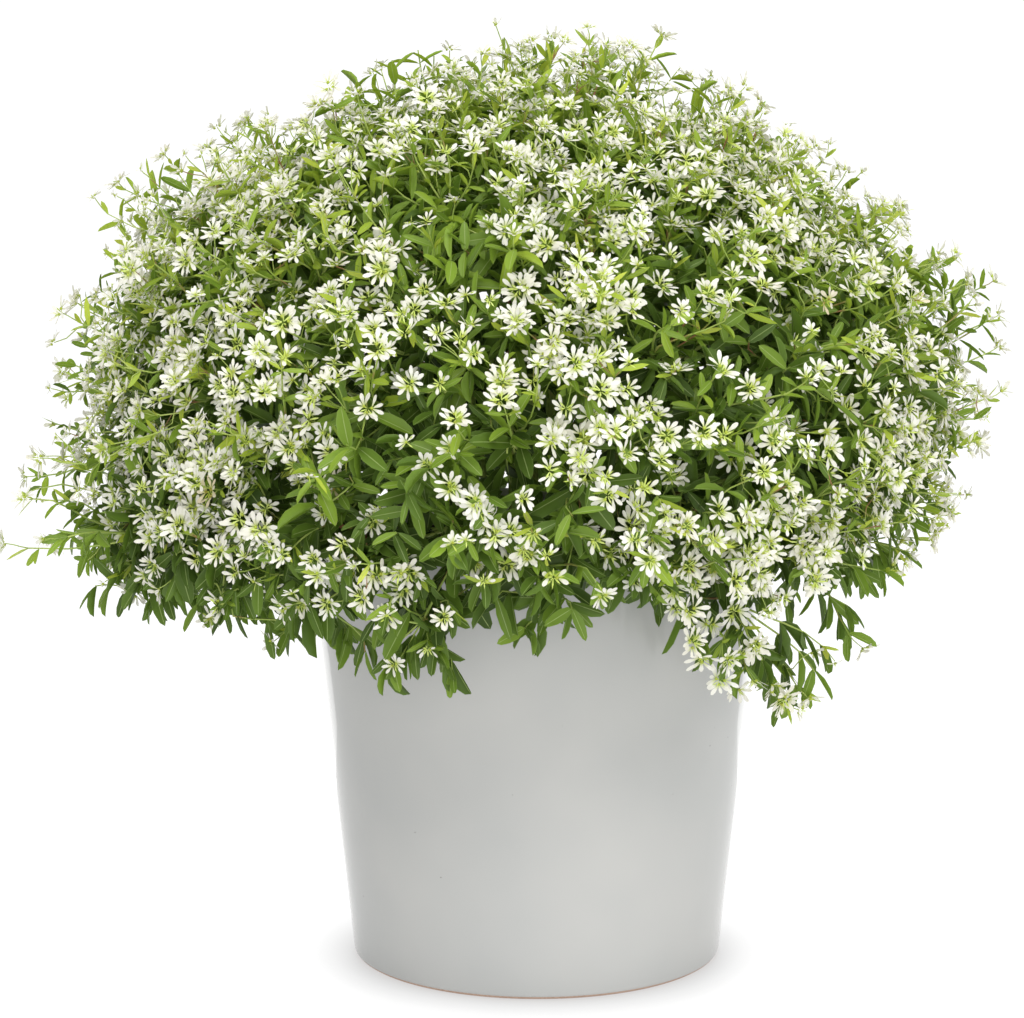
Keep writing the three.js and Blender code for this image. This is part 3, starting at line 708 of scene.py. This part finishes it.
def add_pairs(plant, path, stops, direction, length, tone, hang):
    """A pair of opposite leaves at each stop along a stem."""
    turn = rng.uniform(0, math.pi)
    for step, t in enumerate(stops):
        at, way = curve_point(path, t), curve_way(path, t)
        across = frame_of(way, direction + rng.normal(0, 0.1, 3))
        bearing = turn + step * math.pi / 2
        side = across[:, 1] * math.cos(bearing) + across[:, 2] * math.sin(bearing)
        for way_out in (side, -side):
            shade = min(PALEST_PAIR, max(0, tone + PALER_TO_THE_TIP * t + rng.normal(0, PALENESS_SPREAD)))
            size = length * rng.uniform(0.75, 1.15) * (1 - 0.4 * t) * (1.3 - 0.6 * max(0.5, shade))
            add_leaf(plant, at, way, way_out, direction, size, shade, hang)


def hanging(direction):
    """How much the leaves hang, from 0 on top to 1 in the skirt."""
    return min(1, max(0, (0.25 - direction[2]) / 0.5))


def inner_painted_shade(direction):
    """The tone of inner leaves, as painted shade: darkest low down, and paler on top, where more light gets in."""
    return 0.02 + 0.2 * max(0, direction[2])


print("a leaf at the side of the mound hangs by", hanging(np.array([1, 0, 0])), "of the most")

# %% Dress the branches
BRANCH_RADII = (1.25 * MM, 0.85 * MM)
BRANCH_STOPS = (0.3, 0.45, 0.6, 0.75, 0.9)

for branch in branches:
    plant, direction = plants[branch["spray"]], branch["direction"]
    plant["stems"].append((branch["path"], *BRANCH_RADII))
    # Branch leaves are inner leaves, darkened as painted shade.
    tone, hang = inner_painted_shade(direction), hanging(direction)
    add_pairs(plant, branch["path"], BRANCH_STOPS, direction, LEAF_LONGEST, tone, hang)
print("leaves on the branches:", sum(len(plant["leaves"]) for plant in plants))

# %% [markdown]
# ## Flowers on their stalks
# The tip of a twig forks once more into hair-thin stalks, and each ends in a flower. The first goes on straight, and
# the others stand round it by the golden angle, so a twig with many flowers makes a loose head.

# %% A head of flowers
STALK_REACH_MM = (8, 21)
STALK_LENGTH_MM = (5, 15)
STALK_RADII = (0.36 * MM, 0.3 * MM)
WILTED_CHANCE = 0.002
WILTED_TONE = 0.36
FRESH_TONES = (0, 0.15)
FLOWER_SIZES = (0.78, 1.15)
SMALLER_ON_TOP = 0.15
SMALL_LEAF_CHANCE = 0.6
SMALL_LEAF_LENGTH_MM = (8, 18)
SMALL_LEAF_WIDTH = 0.21
SMALL_LEAF_TONES = (0.45, 0.95)


def add_head(plant, path, direction, count):
    """A head of flowers at the end of a twig."""
    for k in range(count):
        base_at = rng.uniform(0.7, 1.0) if k else 1.0
        base, way = curve_point(path, base_at), curve_way(path, base_at)
        facing = unit(way + 0.5 * direction + 0.15 * UP + rng.normal(0, 0.2, 3))
        ring = frame_of(facing, UP + rng.normal(0, 0.1, 3))
        bearing = k * GOLDEN_ANGLE + rng.uniform(-0.4, 0.4)
        out = ring[:, 1] * math.cos(bearing) + ring[:, 2] * math.sin(bearing)
        reach = rng.uniform(*STALK_REACH_MM) * MM if k else 0
        tip = base + out * reach + facing * rng.uniform(*STALK_LENGTH_MM) * MM
        bloom_way = unit(facing + out * (0.55 if k else 0) + rng.normal(0, 0.25, 3))
        plant["stalks"].append((path_between(base, way, tip, bloom_way), *STALK_RADII))
        tone = WILTED_TONE if rng.random() < WILTED_CHANCE else rng.uniform(*FRESH_TONES)
        kind = rng.choice(6, p=FLOWER_KIND_SHARES)
        size = rng.uniform(*FLOWER_SIZES) * (1 - SMALLER_ON_TOP * max(0, direction[2]))
        plant["flowers"].append((kind, tip, frame_of(out, bloom_way), [size] * 3, tone))
        for side in (out, -out):
            if rng.random() < SMALL_LEAF_CHANCE:
                length = rng.uniform(*SMALL_LEAF_LENGTH_MM) * MM
                along = unit(way + side * rng.uniform(0.5, 1.6) + rng.normal(0, 0.3, 3))
                turned = frame_of(along, facing + rng.normal(0, 0.5, 3))
                size = [length, SMALL_LEAF_WIDTH * length, length]
                plant["leaves"].append((SMALL_LEAF, base, turned, size, rng.uniform(*SMALL_LEAF_TONES)))


print("kinds of flower:", len(FLOWER_KIND_SHARES))

# %% [markdown]
# ## The twigs
# Every twig leaves the nearest branch somewhere along its outer half. Outer twigs end at the skin, some a little
# further out than others, so the mound has a broken edge, and the edge itself is lumpy and sits lower where the real
# mound does. Shares are of the mound's radius.

# %% Where the outer twigs end
SKIN_SHARE = 0.872
SKIN_SPREAD = 0.048
LUMP_SHARE = 0.035
LEFT_SHARE = 0.05
LOW_LEFT_SHARE = 0.06
SHOULDER_DIP = 0.06
shoulder = unit(seen_at(325, 90, 0) - MOUND_CENTRE)


def lump_at(direction):
    """How much further out or in than usual the skin is here, as a share."""
    x, _, z = direction
    lump = LUMP_SHARE * noise.noise(Vector(direction) * 4.5 + Vector((3, 8, 1)))
    lump -= LEFT_SHARE * max(0, -x) * min(1, max(0, (0.5 - z) / 0.3))
    lump -= LOW_LEFT_SHARE * max(0, -x) * min(1, max(0, (0.2 - z) / 0.25))
    return lump - SHOULDER_DIP * max(0, (direction @ shoulder - 0.9) / 0.1)


print("lump at the top:", round(lump_at(UP), 3), "and at the shoulder:", round(lump_at(shoulder), 3))

# %% [markdown]
# ## Leaves and flowers on the twigs
# Green places have larger leaves, and white ones more flowers. A few twigs, the sprigs, reach further and are sure to
# flower. In the skirt some twigs are left out and the rest end at uneven heights, as trailing ones do.

# %% Grow the twigs
OUTER_TWIGS = 1580
INNER_TWIGS = 930
SPRIG_CHANCE = 0.07
SPRIG_SHARES = (0.93, 0.98)
LONGEST_SHARE = 0.95
INNER_SHARES = (0.64, 0.82)
TWIG_NUDGE = 0.035
TWIG_RADII = (0.75 * MM, 0.42 * MM)
TWIG_CLEARANCE = 33 * MM
TWIG_CLEARANCE_SPREAD = 56 * MM
SKIRT_THINNED = 0.22
INNER_LONGER = 1.1
PALER_SPRIG = 0.1
PALER_OUTSIDE = 0.1
FLOWERS_WHERE_WHITE = 4
MOST_FLOWERS = 7

for outer, count, turn in ((True, OUTER_TWIGS, 2.0), (False, INNER_TWIGS, 4.1)):
    for direction in even_directions(count, turn, TWIG_NUDGE):
        if outer and direction[2] < SKIRT_STARTS and rng.random() < SKIRT_THINNED:
            continue
        branch = branches[int(np.argmax(branch_directions @ direction))]
        plant, hang, white = plants[branch["spray"]], hanging(direction), flowering(direction)
        sprig = outer and rng.random() < SPRIG_CHANCE
        usual = SKIN_SHARE + lump_at(direction)
        skin = rng.uniform(*SPRIG_SHARES) if sprig else min(LONGEST_SHARE, rng.normal(usual, SKIN_SPREAD))
        share = skin if outer else rng.uniform(*INNER_SHARES)
        end = mound_point(direction, share)
        end[2] = max(end[2], skirt_bottom(direction) + TWIG_CLEARANCE + TWIG_CLEARANCE_SPREAD * rng.random())
        start_at = rng.uniform(0.45, 1.0)
        start = curve_point(branch["path"], start_at)
        path = path_between(start, curve_way(branch["path"], start_at), end, growing_way(direction))
        plant["stems"].append((path, *TWIG_RADII))
        if not outer:
            # Inner twigs carry longer leaves, darkened as painted shade.
            length = INNER_LONGER * LEAF_LONGEST
            add_pairs(plant, path, (0.4, 0.65, 0.95), direction, length, inner_painted_shade(direction), hang)
            continue
        # Painted light and shade: the outer leaves are paler higher on the mound and darker low down. They are also
        # paler on sprigs and on twigs that reach further out.
        outer_leaf_tone = 0.12 + 0.4 * direction[2] + (PALER_SPRIG if sprig else 0)
        outer_leaf_tone = outer_leaf_tone + PALER_OUTSIDE * (share - SKIN_SHARE) / SKIN_SPREAD
        stops = (0.3, 0.52, 0.74, 0.94) if white < 0.4 else (0.28, 0.5, 0.74)
        if direction[2] < -0.15:
            stops = (0.4, 0.68, 0.95)
        length = (1.05 - 0.28 * white) * (1 - 0.2 * max(0, direction[2])) * rng.uniform(0.75, 1.25) * LEAF_LONGEST
        add_pairs(plant, path, stops, direction, length, max(0.1, outer_leaf_tone), hang)
        heads = int(round(white * FLOWERS_WHERE_WHITE - 0.4 + rng.normal(0, 0.8)))
        add_head(plant, path, direction, max(1 if sprig else 0, min(MOST_FLOWERS, heads)))

print({key: sum(len(plant[key]) for plant in plants) for key in plants[0]})

# %% [markdown]
# ## Sprigs that stand out
# The outline of a real plant is told by single sprigs: thin lime ones that stand up from the top, flowers that reach
# out at the sides, and twigs that trail from the skirt. The ones that the photograph shows are placed by their tips:
# across and down in its pixels, how far forward of the pot's axis in millimetres, and how many flowers. Each still
# grows from the nearest branch.

# %% Grow the sprigs that stand out
TOP_SPRIGS = [
    (589, 46, 0, 1), (655, 48, 0, 1), (628, 64, 10, 0), (680, 68, -20, 0), (702, 82, 0, 0), (716, 96, 10, 0),
    (736, 116, 20, 1), (752, 134, 0, 1), (603, 62, 10, 2), (570, 66, 15, 0), (546, 58, -10, 1), (522, 60, 0, 1),
    (505, 50, 10, 1), (482, 66, 20, 1), (456, 60, 0, 0), (434, 56, 0, 0), (418, 50, 0, 0), (406, 72, -10, 0),
    (392, 60, 10, 0), (372, 84, 10, 0), (357, 80, 0, 0), (342, 98, 10, 0), (380, 96, 20, 1), (306, 150, 0, 1),
    (272, 148, 0, 1), (248, 138, 10, 1), (172, 164, 0, 1), (150, 178, 10, 1), (126, 190, 0, 1), (108, 214, 10, 1),
    (122, 228, 20, 0), (780, 146, 0, 1), (810, 174, 20, 1), (848, 188, 0, 2), (888, 230, 0, 0), (908, 252, -20, 0),
    (938, 268, 10, 2),
]
SIDE_SPRIGS = [
    (980, 288, 0, 1), (986, 322, 0, 1), (990, 352, 0, 1), (966, 306, 10, 0), (964, 400, 10, 0), (956, 438, 0, 1),
    (930, 494, 20, 0), (914, 538, 40, 2), (98, 288, 0, 0), (115, 270, 20, 0), (90, 312, 10, 1), (72, 364, 0, 0),
    (84, 344, 20, 0), (66, 392, 0, 1), (64, 426, 0, 1), (84, 440, 30, 0), (42, 476, 0, 1), (70, 500, 30, 1),
    (86, 470, 40, 1), (72, 536, 0, 1), (84, 520, 20, 0), (100, 540, 50, 1), (88, 560, 40, 0),
]
TRAILING_SPRIGS = [
    (95, 586, 50, 0), (125, 556, 60, 0), (150, 598, 90, 0), (175, 580, 80, 0), (200, 602, 110, 0), (222, 610, 110, 1),
    (245, 594, 120, 0), (268, 604, 130, 0), (345, 634, 190, 0), (365, 652, 200, 0), (290, 628, 150, 1),
    (325, 618, 160, 0), (375, 618, 220, 0), (404, 652, 215, 1), (438, 650, 215, 0), (525, 628, 225, 0),
    (572, 610, 235, 0), (388, 668, 218, 0), (452, 670, 212, 0), (428, 640, 216, 1), (700, 640, 205, 2),
    (722, 656, 195, 3), (745, 666, 180, 3), (772, 680, 165, 3), (798, 688, 150, 2), (785, 700, 160, 1),
    (822, 646, 150, 1), (815, 672, 150, 0), (850, 636, 130, 1), (848, 606, 120, 0), (862, 572, 100, 0),
    (895, 548, 80, 1),
]
SPRIG_RADII = (0.8 * MM, 0.4 * MM)

# Each list with where its leaf pairs sit along a sprig, how long its leaves are, and their tone. The tone is paler
# on top and darker in the trailing skirt, as painted light and shade.
for tips, stops, length, tone in (
    (TOP_SPRIGS, (0.5, 0.7, 0.88), 0.9, 0.5),
    (SIDE_SPRIGS, (0.4, 0.6, 0.78, 0.95), 0.68, 0.3),
    (TRAILING_SPRIGS, (0.55, 0.78, 0.97), 1.0, 0.16),
):
    for px, py, forward, flowers in tips:
        tip = seen_at(px, py, forward)
        direction = unit(tip - MOUND_CENTRE)
        branch = branches[int(np.argmax(branch_directions @ direction))]
        start_at = rng.uniform(0.75, 0.98)
        start, start_way = curve_point(branch["path"], start_at), curve_way(branch["path"], start_at)
        path = path_between(start, start_way, tip, growing_way(direction))
        plant = plants[branch["spray"]]
        plant["stems"].append((path, *SPRIG_RADII))
        add_pairs(plant, path, stops, direction, length * LEAF_LONGEST, tone, hanging(direction))
        add_head(plant, path, direction, flowers)
print("sprigs that stand out:", len(TOP_SPRIGS + SIDE_SPRIGS + TRAILING_SPRIGS))

# %% [markdown]
# ## The main stems
# Each spray's own stem comes straight up out of its hole in the mix and leans out over the rim, along the same path
# as its solid.

# %% Add the main stems
STEM_RADIUS = 2 * MM
STEM_TIP_RADIUS = 1.4 * MM
HOLES_START_MM = 16
HOLES_SPREAD_MM = 46
STEM_STRAIGHT = 8 * MM
STEM_RISE_MIDDLE = 90 * MM
STEM_RISE_EDGE = 30 * MM
STEM_EASE = 0.35
HOLE_DEPTH = 34 * MM

for spray, middle in enumerate(spray_directions):
    lean = math.acos(min(1, middle[2]))
    azimuth = math.atan2(middle[1], middle[0])
    radius = 0 if lean < 0.01 else (HOLES_START_MM + HOLES_SPREAD_MM * lean) * MM
    foot = np.array([math.cos(azimuth) * radius, math.sin(azimuth) * radius, SOIL_TOP])
    end = mound_point(middle, FORK_SHARE)
    rise = STEM_RISE_EDGE + (STEM_RISE_MIDDLE - STEM_RISE_EDGE) * max(0, middle[2])
    out = foot + UP * STEM_STRAIGHT
    back = end - middle * STEM_EASE * np.linalg.norm(end - foot)
    upright = [foot - UP * HOLE_DEPTH, foot - UP * HOLE_DEPTH / 2, foot, out]
    plants[spray]["stems"].append((upright, STEM_RADIUS, STEM_RADIUS))
    plants[spray]["stems"].append(([out, out + UP * rise, back, end], STEM_RADIUS, STEM_TIP_RADIUS))
print("main stems:", len(spray_directions))

# %% [markdown]
# ## Stems as curves
# A stem is what Blender's curves are for: two points with handles give the bend, the bevel gives it thickness, and the
# radius at each end tapers it. All the stems of a spray go into one curve, which is then read back as a mesh.

# %% Turn lists of paths into one mesh
def stems_shape(paths, steps, slot, tone):
    data = bpy.data.curves.new("stems", "CURVE")
    data.dimensions = "3D"
    data.bevel_depth = 1.0
    data.bevel_resolution = 0
    data.use_fill_caps = False
    for path, thick, thin in paths:
        spline = data.splines.new("BEZIER")
        spline.bezier_points.add(1)
        spline.resolution_u = steps
        first, last = spline.bezier_points
        first.handle_left, first.co, first.handle_right = path[0], path[0], path[1]
        last.handle_left, last.co, last.handle_right = path[2], path[3], path[3]
        first.radius, last.radius = thick, thin
    holder = add_object("stems", data)
    mesh = bpy.data.meshes.new_from_object(holder.evaluated_get(bpy.context.evaluated_depsgraph_get()))
    bm = bmesh.new()
    bm.from_mesh(mesh)
    shape = as_arrays(bm, slot, tone)
    bm.free()
    bpy.data.objects.remove(holder)
    bpy.data.curves.remove(data)
    bpy.data.meshes.remove(mesh)
    return shape


STEM_STEPS = 5
STALK_STEPS = 3
print("faces of one stem:", len(stems_shape(plants[0]["stems"][:1], STEM_STEPS, 1, 0)["sizes"]))

# %% [markdown]
# ## The leaf
# A living leaf is a waxy green skin over paler tissue. Its midrib and its edge are a little lighter, and the wax gives
# a broad, soft shine. Tone picks its green, from the dark of old leaves to the lime of new ones, with painted shade
# and light mixed in: inner and low leaves darker, top ones paler. The blade's own UV map tells how far a point is from
# the midrib. A leaf is so thin that light from behind shines through, so a translucent shader is mixed in.

# %% Waxy leaf
LIGHT_THROUGH_LEAF = 0.33


def let_light_through(tree, shader, colour, share):
    """Mixes a translucent shader into the material of a thin blade, so that it glows when lit from behind."""
    through = add_node(tree, "BsdfTranslucent", {"Color": colour})
    thin = add_node(tree, "MixShader", {1: shader.outputs["BSDF"], 2: through.outputs["BSDF"]}, Fac=share)
    tree.links.new(thin.outputs["Shader"], tree.nodes["Material Output"].inputs["Surface"])


leaf_skin, tree, shader = new_material("waxy_leaf", Roughness=0.45, IOR=1.36)
tone = add_node(tree, "Attribute", attribute_name="tone").outputs["Fac"]
green_stops = [(0.0, "#435A22"), (0.3, "#617D2B"), (0.55, "#86A335"), (0.8, "#B0C440"), (1.0, "#D2DA5C")]
greens = add_node(tree, "ValToRGB", {"Fac": tone}, stops=green_stops)
blade_uv = add_node(tree, "UVMap", uv_map="blade").outputs["UV"]
across = add_node(tree, "SeparateXYZ", {"Vector": blade_uv}).outputs["Y"]
from_rib = add_node(tree, "Math", {0: across}, operation="SUBTRACT")
from_rib.inputs[1].default_value = 0.5
off_rib = add_node(tree, "Math", {0: from_rib.outputs[0]}, operation="ABSOLUTE")
rib_stops = [(0.0, "#FFFFFF"), (0.045, "#000000"), (0.44, "#000000"), (0.5, "#808080")]
rib = add_node(tree, "ValToRGB", {"Fac": off_rib.outputs[0]}, stops=rib_stops)
layers = {"Factor": rib.outputs["Color"], "A": greens.outputs["Color"]}
pale = add_node(tree, "Mix", layers, data_type="RGBA", blend_type="MIX", B=linear("#A8BC72"))
tree.links.new(pale.outputs["Result"], shader.inputs["Base Color"])
let_light_through(tree, shader, pale.outputs["Result"], LIGHT_THROUGH_LEAF)
print("nodes of the leaf:", len(tree.nodes))

# %% [markdown]
# ## The stem
# The stems are smooth and pale green, and flush reddish brown in places as they age. The flush runs over a couple of
# centimetres, so a noise of that size picks the colour.

# %% Green stem
STEM_FLUSH = 22 * MM

stem_skin, tree, shader = new_material("green_stem", Roughness=0.5, IOR=1.42)
place = add_node(tree, "TexCoord").outputs["Object"]
flush = add_node(tree, "TexNoise", {"Vector": place}, Scale=1 / STEM_FLUSH, Detail=1.0)
stem_stops = [(0.3, "#B2C168"), (0.6, "#94AC4E"), (0.72, "#93664A")]
stem_colour = add_node(tree, "ValToRGB", {"Fac": flush.outputs["Fac"]}, stops=stem_stops)
tree.links.new(stem_colour.outputs["Color"], shader.inputs["Base Color"])
print("nodes of the stem:", len(tree.nodes))

# %% [markdown]
# ## The bract and the flower's middle
# The bracts are thin white tissue with a matte bloom, faintly green where they join, and they turn tan as they wilt.
# Tone picks their age, and the place along the blade, from its UV map, the green of the throat. Light shines through
# them as well. The cup in the middle is firm, yellow-green tissue that browns with age.

# %% White bract and flower middle
LIGHT_THROUGH_BRACT = 0.3

bract_skin, tree, shader = new_material("white_bract", Roughness=0.6, IOR=1.38)
tone = add_node(tree, "Attribute", attribute_name="tone").outputs["Fac"]
blade_uv = add_node(tree, "UVMap", uv_map="blade").outputs["UV"]
along = add_node(tree, "SeparateXYZ", {"Vector": blade_uv}).outputs["X"]
ageing_stops = [(0.0, "#F8F7F0"), (0.3, "#EBE8DA"), (0.6, "#D3C095"), (0.9, "#8A6242")]
ageing = add_node(tree, "ValToRGB", {"Fac": tone}, stops=ageing_stops)
throat = add_node(tree, "ValToRGB", {"Fac": along}, stops=[(0.0, "#CFDC84"), (0.36, "#FFFFFF")])
layers = {"A": ageing.outputs["Color"], "B": throat.outputs["Color"]}
bract_colour = add_node(tree, "Mix", layers, data_type="RGBA", blend_type="MULTIPLY", Factor=1.0)
tree.links.new(bract_colour.outputs["Result"], shader.inputs["Base Color"])
let_light_through(tree, shader, bract_colour.outputs["Result"], LIGHT_THROUGH_BRACT)

middle_skin, tree, shader = new_material("flower_middle", Roughness=0.5, IOR=1.4)
tone = add_node(tree, "Attribute", attribute_name="tone").outputs["Fac"]
middle_stops = [(0.0, "#C3D179"), (0.35, "#A6B93C"), (0.9, "#7C5A2C")]
middle_colour = add_node(tree, "ValToRGB", {"Fac": tone}, stops=middle_stops)
tree.links.new(middle_colour.outputs["Color"], shader.inputs["Base Color"])
print("plant materials:", [m.name for m in (leaf_skin, stem_skin, bract_skin, middle_skin)])

# %% [markdown]
# ## One leafy piece and one flower piece for each spray
# The lists are stamped spray by spray. Each pair of pieces stands for the two solids of its own spray.

# %% Stamp the sprays
def stamped(shapes, items):
    """All the copies in a list of (kind, place, axes, scale, tone), joined."""
    parts = []
    for kind, shape in enumerate(shapes):
        mine = [item[1:] for item in items if item[0] == kind]
        if mine:
            parts.append(stamp(shape, *zip(*mine)))
    return parts


triangles = 0
for spray, plant in enumerate(plants):
    label = f"{spray + 1:02d}"
    leafy = joined(stamped(leaf_shapes, plant["leaves"]) + [stems_shape(plant["stems"], STEM_STEPS, 1, 0)])
    blooms = joined(stamped(flower_shapes, plant["flowers"]) + [stems_shape(plant["stalks"], STALK_STEPS, 2, 0)])
    for shape, name, node, slot, materials in (
        (leafy, f"leaves_{label}", f"leafy_spray_{label}", "leaf_green", (leaf_skin, stem_skin)),
        (blooms, f"flowers_{label}", f"flower_head_{label}", "bract_white", (bract_skin, middle_skin, stem_skin)),
    ):
        piece = piece_from(shape, name, materials)
        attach(piece, "root")
        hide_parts(node)
        triangles += int((shape["sizes"] - 2).sum())
print("triangles of the plant:", triangles)

# %% [markdown]
# ## Floor and light
# The photograph is a bright studio shot on white: light comes softly from all round. A large softbox above and to the
# left gives the leaves their shine and shade, two weaker ones open the shadows, and one behind shines through the
# thin leaves and bracts along the top. A low panel close behind the pot is what the glaze mirrors at its edges, as
# two bright lines. The floor glows, as a lit white table does, and glows less round the pot's foot, which paints its
# contact shadow.

# %% Lay the glowing floor
FLOOR_HALF = 40
FLOOR_GAP = 0.2 * MM
GLOW_REACH = 4
# How strongly the floor glows, by its distance from the pot's axis as a share of that reach. The lower glow close to
# the axis is a painted contact shadow round the pot's foot.
GLOW = [(0.0, 0.58), (0.027, 0.59), (0.03, 0.7), (0.034, 0.83), (0.04, 0.92), (0.06, 0.96), (0.25, 0.98), (1.0, 1.02)]

floor_bm = bmesh.new()
bmesh.ops.create_grid(floor_bm, x_segments=1, y_segments=1, size=FLOOR_HALF)
bmesh.ops.translate(floor_bm, verts=floor_bm.verts, vec=(0, 0, -FLOOR_GAP))
white_table, tree, shader = new_material(
    "lit_white_table", Roughness=0.6, Base_Color=linear("#5A5A5A"), Emission_Color=(1, 1, 1, 1)
)
place = add_node(tree, "TexCoord").outputs["Object"]
reach = add_node(tree, "VectorMath", {0: place}, operation="LENGTH").outputs["Value"]
outwards = add_node(tree, "MapRange", {"Value": reach}, From_Max=GLOW_REACH)
glow = add_node(tree, "FloatCurve", {"Value": outwards.outputs["Result"]})
for where, amount in GLOW:
    glow.mapping.curves[0].points.new(where, amount)
glow.mapping.update()
tree.links.new(glow.outputs["Value"], shader.inputs["Emission Strength"])
floor = object_from(floor_bm, "white_floor", white_table)
print("floor in metres:", round(floor.dimensions.x, 1))

# %% Light the scene
SKY_STRENGTH = 0.34

world = bpy.data.worlds.new("studio")
world.use_nodes = True
world.node_tree.nodes["Background"].inputs["Color"].default_value = (1, 1, 1, 1)
world.node_tree.nodes["Background"].inputs["Strength"].default_value = SKY_STRENGTH
bpy.context.scene.world = world
bpy.context.scene.view_settings.view_transform = "Standard"


def softbox(name, place, width, height, watts, target):
    data = bpy.data.lights.new(name, "AREA")
    data.shape = "RECTANGLE"
    data.size, data.size_y = width, height
    data.energy = watts
    box = add_object(name, data)
    box.location = place
    box.rotation_euler = (Vector(target) - Vector(place)).to_track_quat("-Z", "Y").to_euler()
    box.visible_camera = False


softbox("key_softbox", (-0.35, -1.2, 2.1), 1.4, 1.4, 34, (0, 0, 0.35))
softbox("fill_softbox", (1.5, -1.1, 1.5), 1.2, 1.2, 18, (0.05, 0, 0.4))
softbox("front_softbox", (0.1, -2.0, 0.5), 1.0, 0.8, 12, (0, 0, 0.3))
softbox("back_softbox", (0, 1.6, 1.5), 1.6, 0.8, 18, (0, 0, 0.5))
softbox("edge_panel", (0, 0.37, 0.1), 0.82, 0.2, 0.42, (0, 0, 0.1))
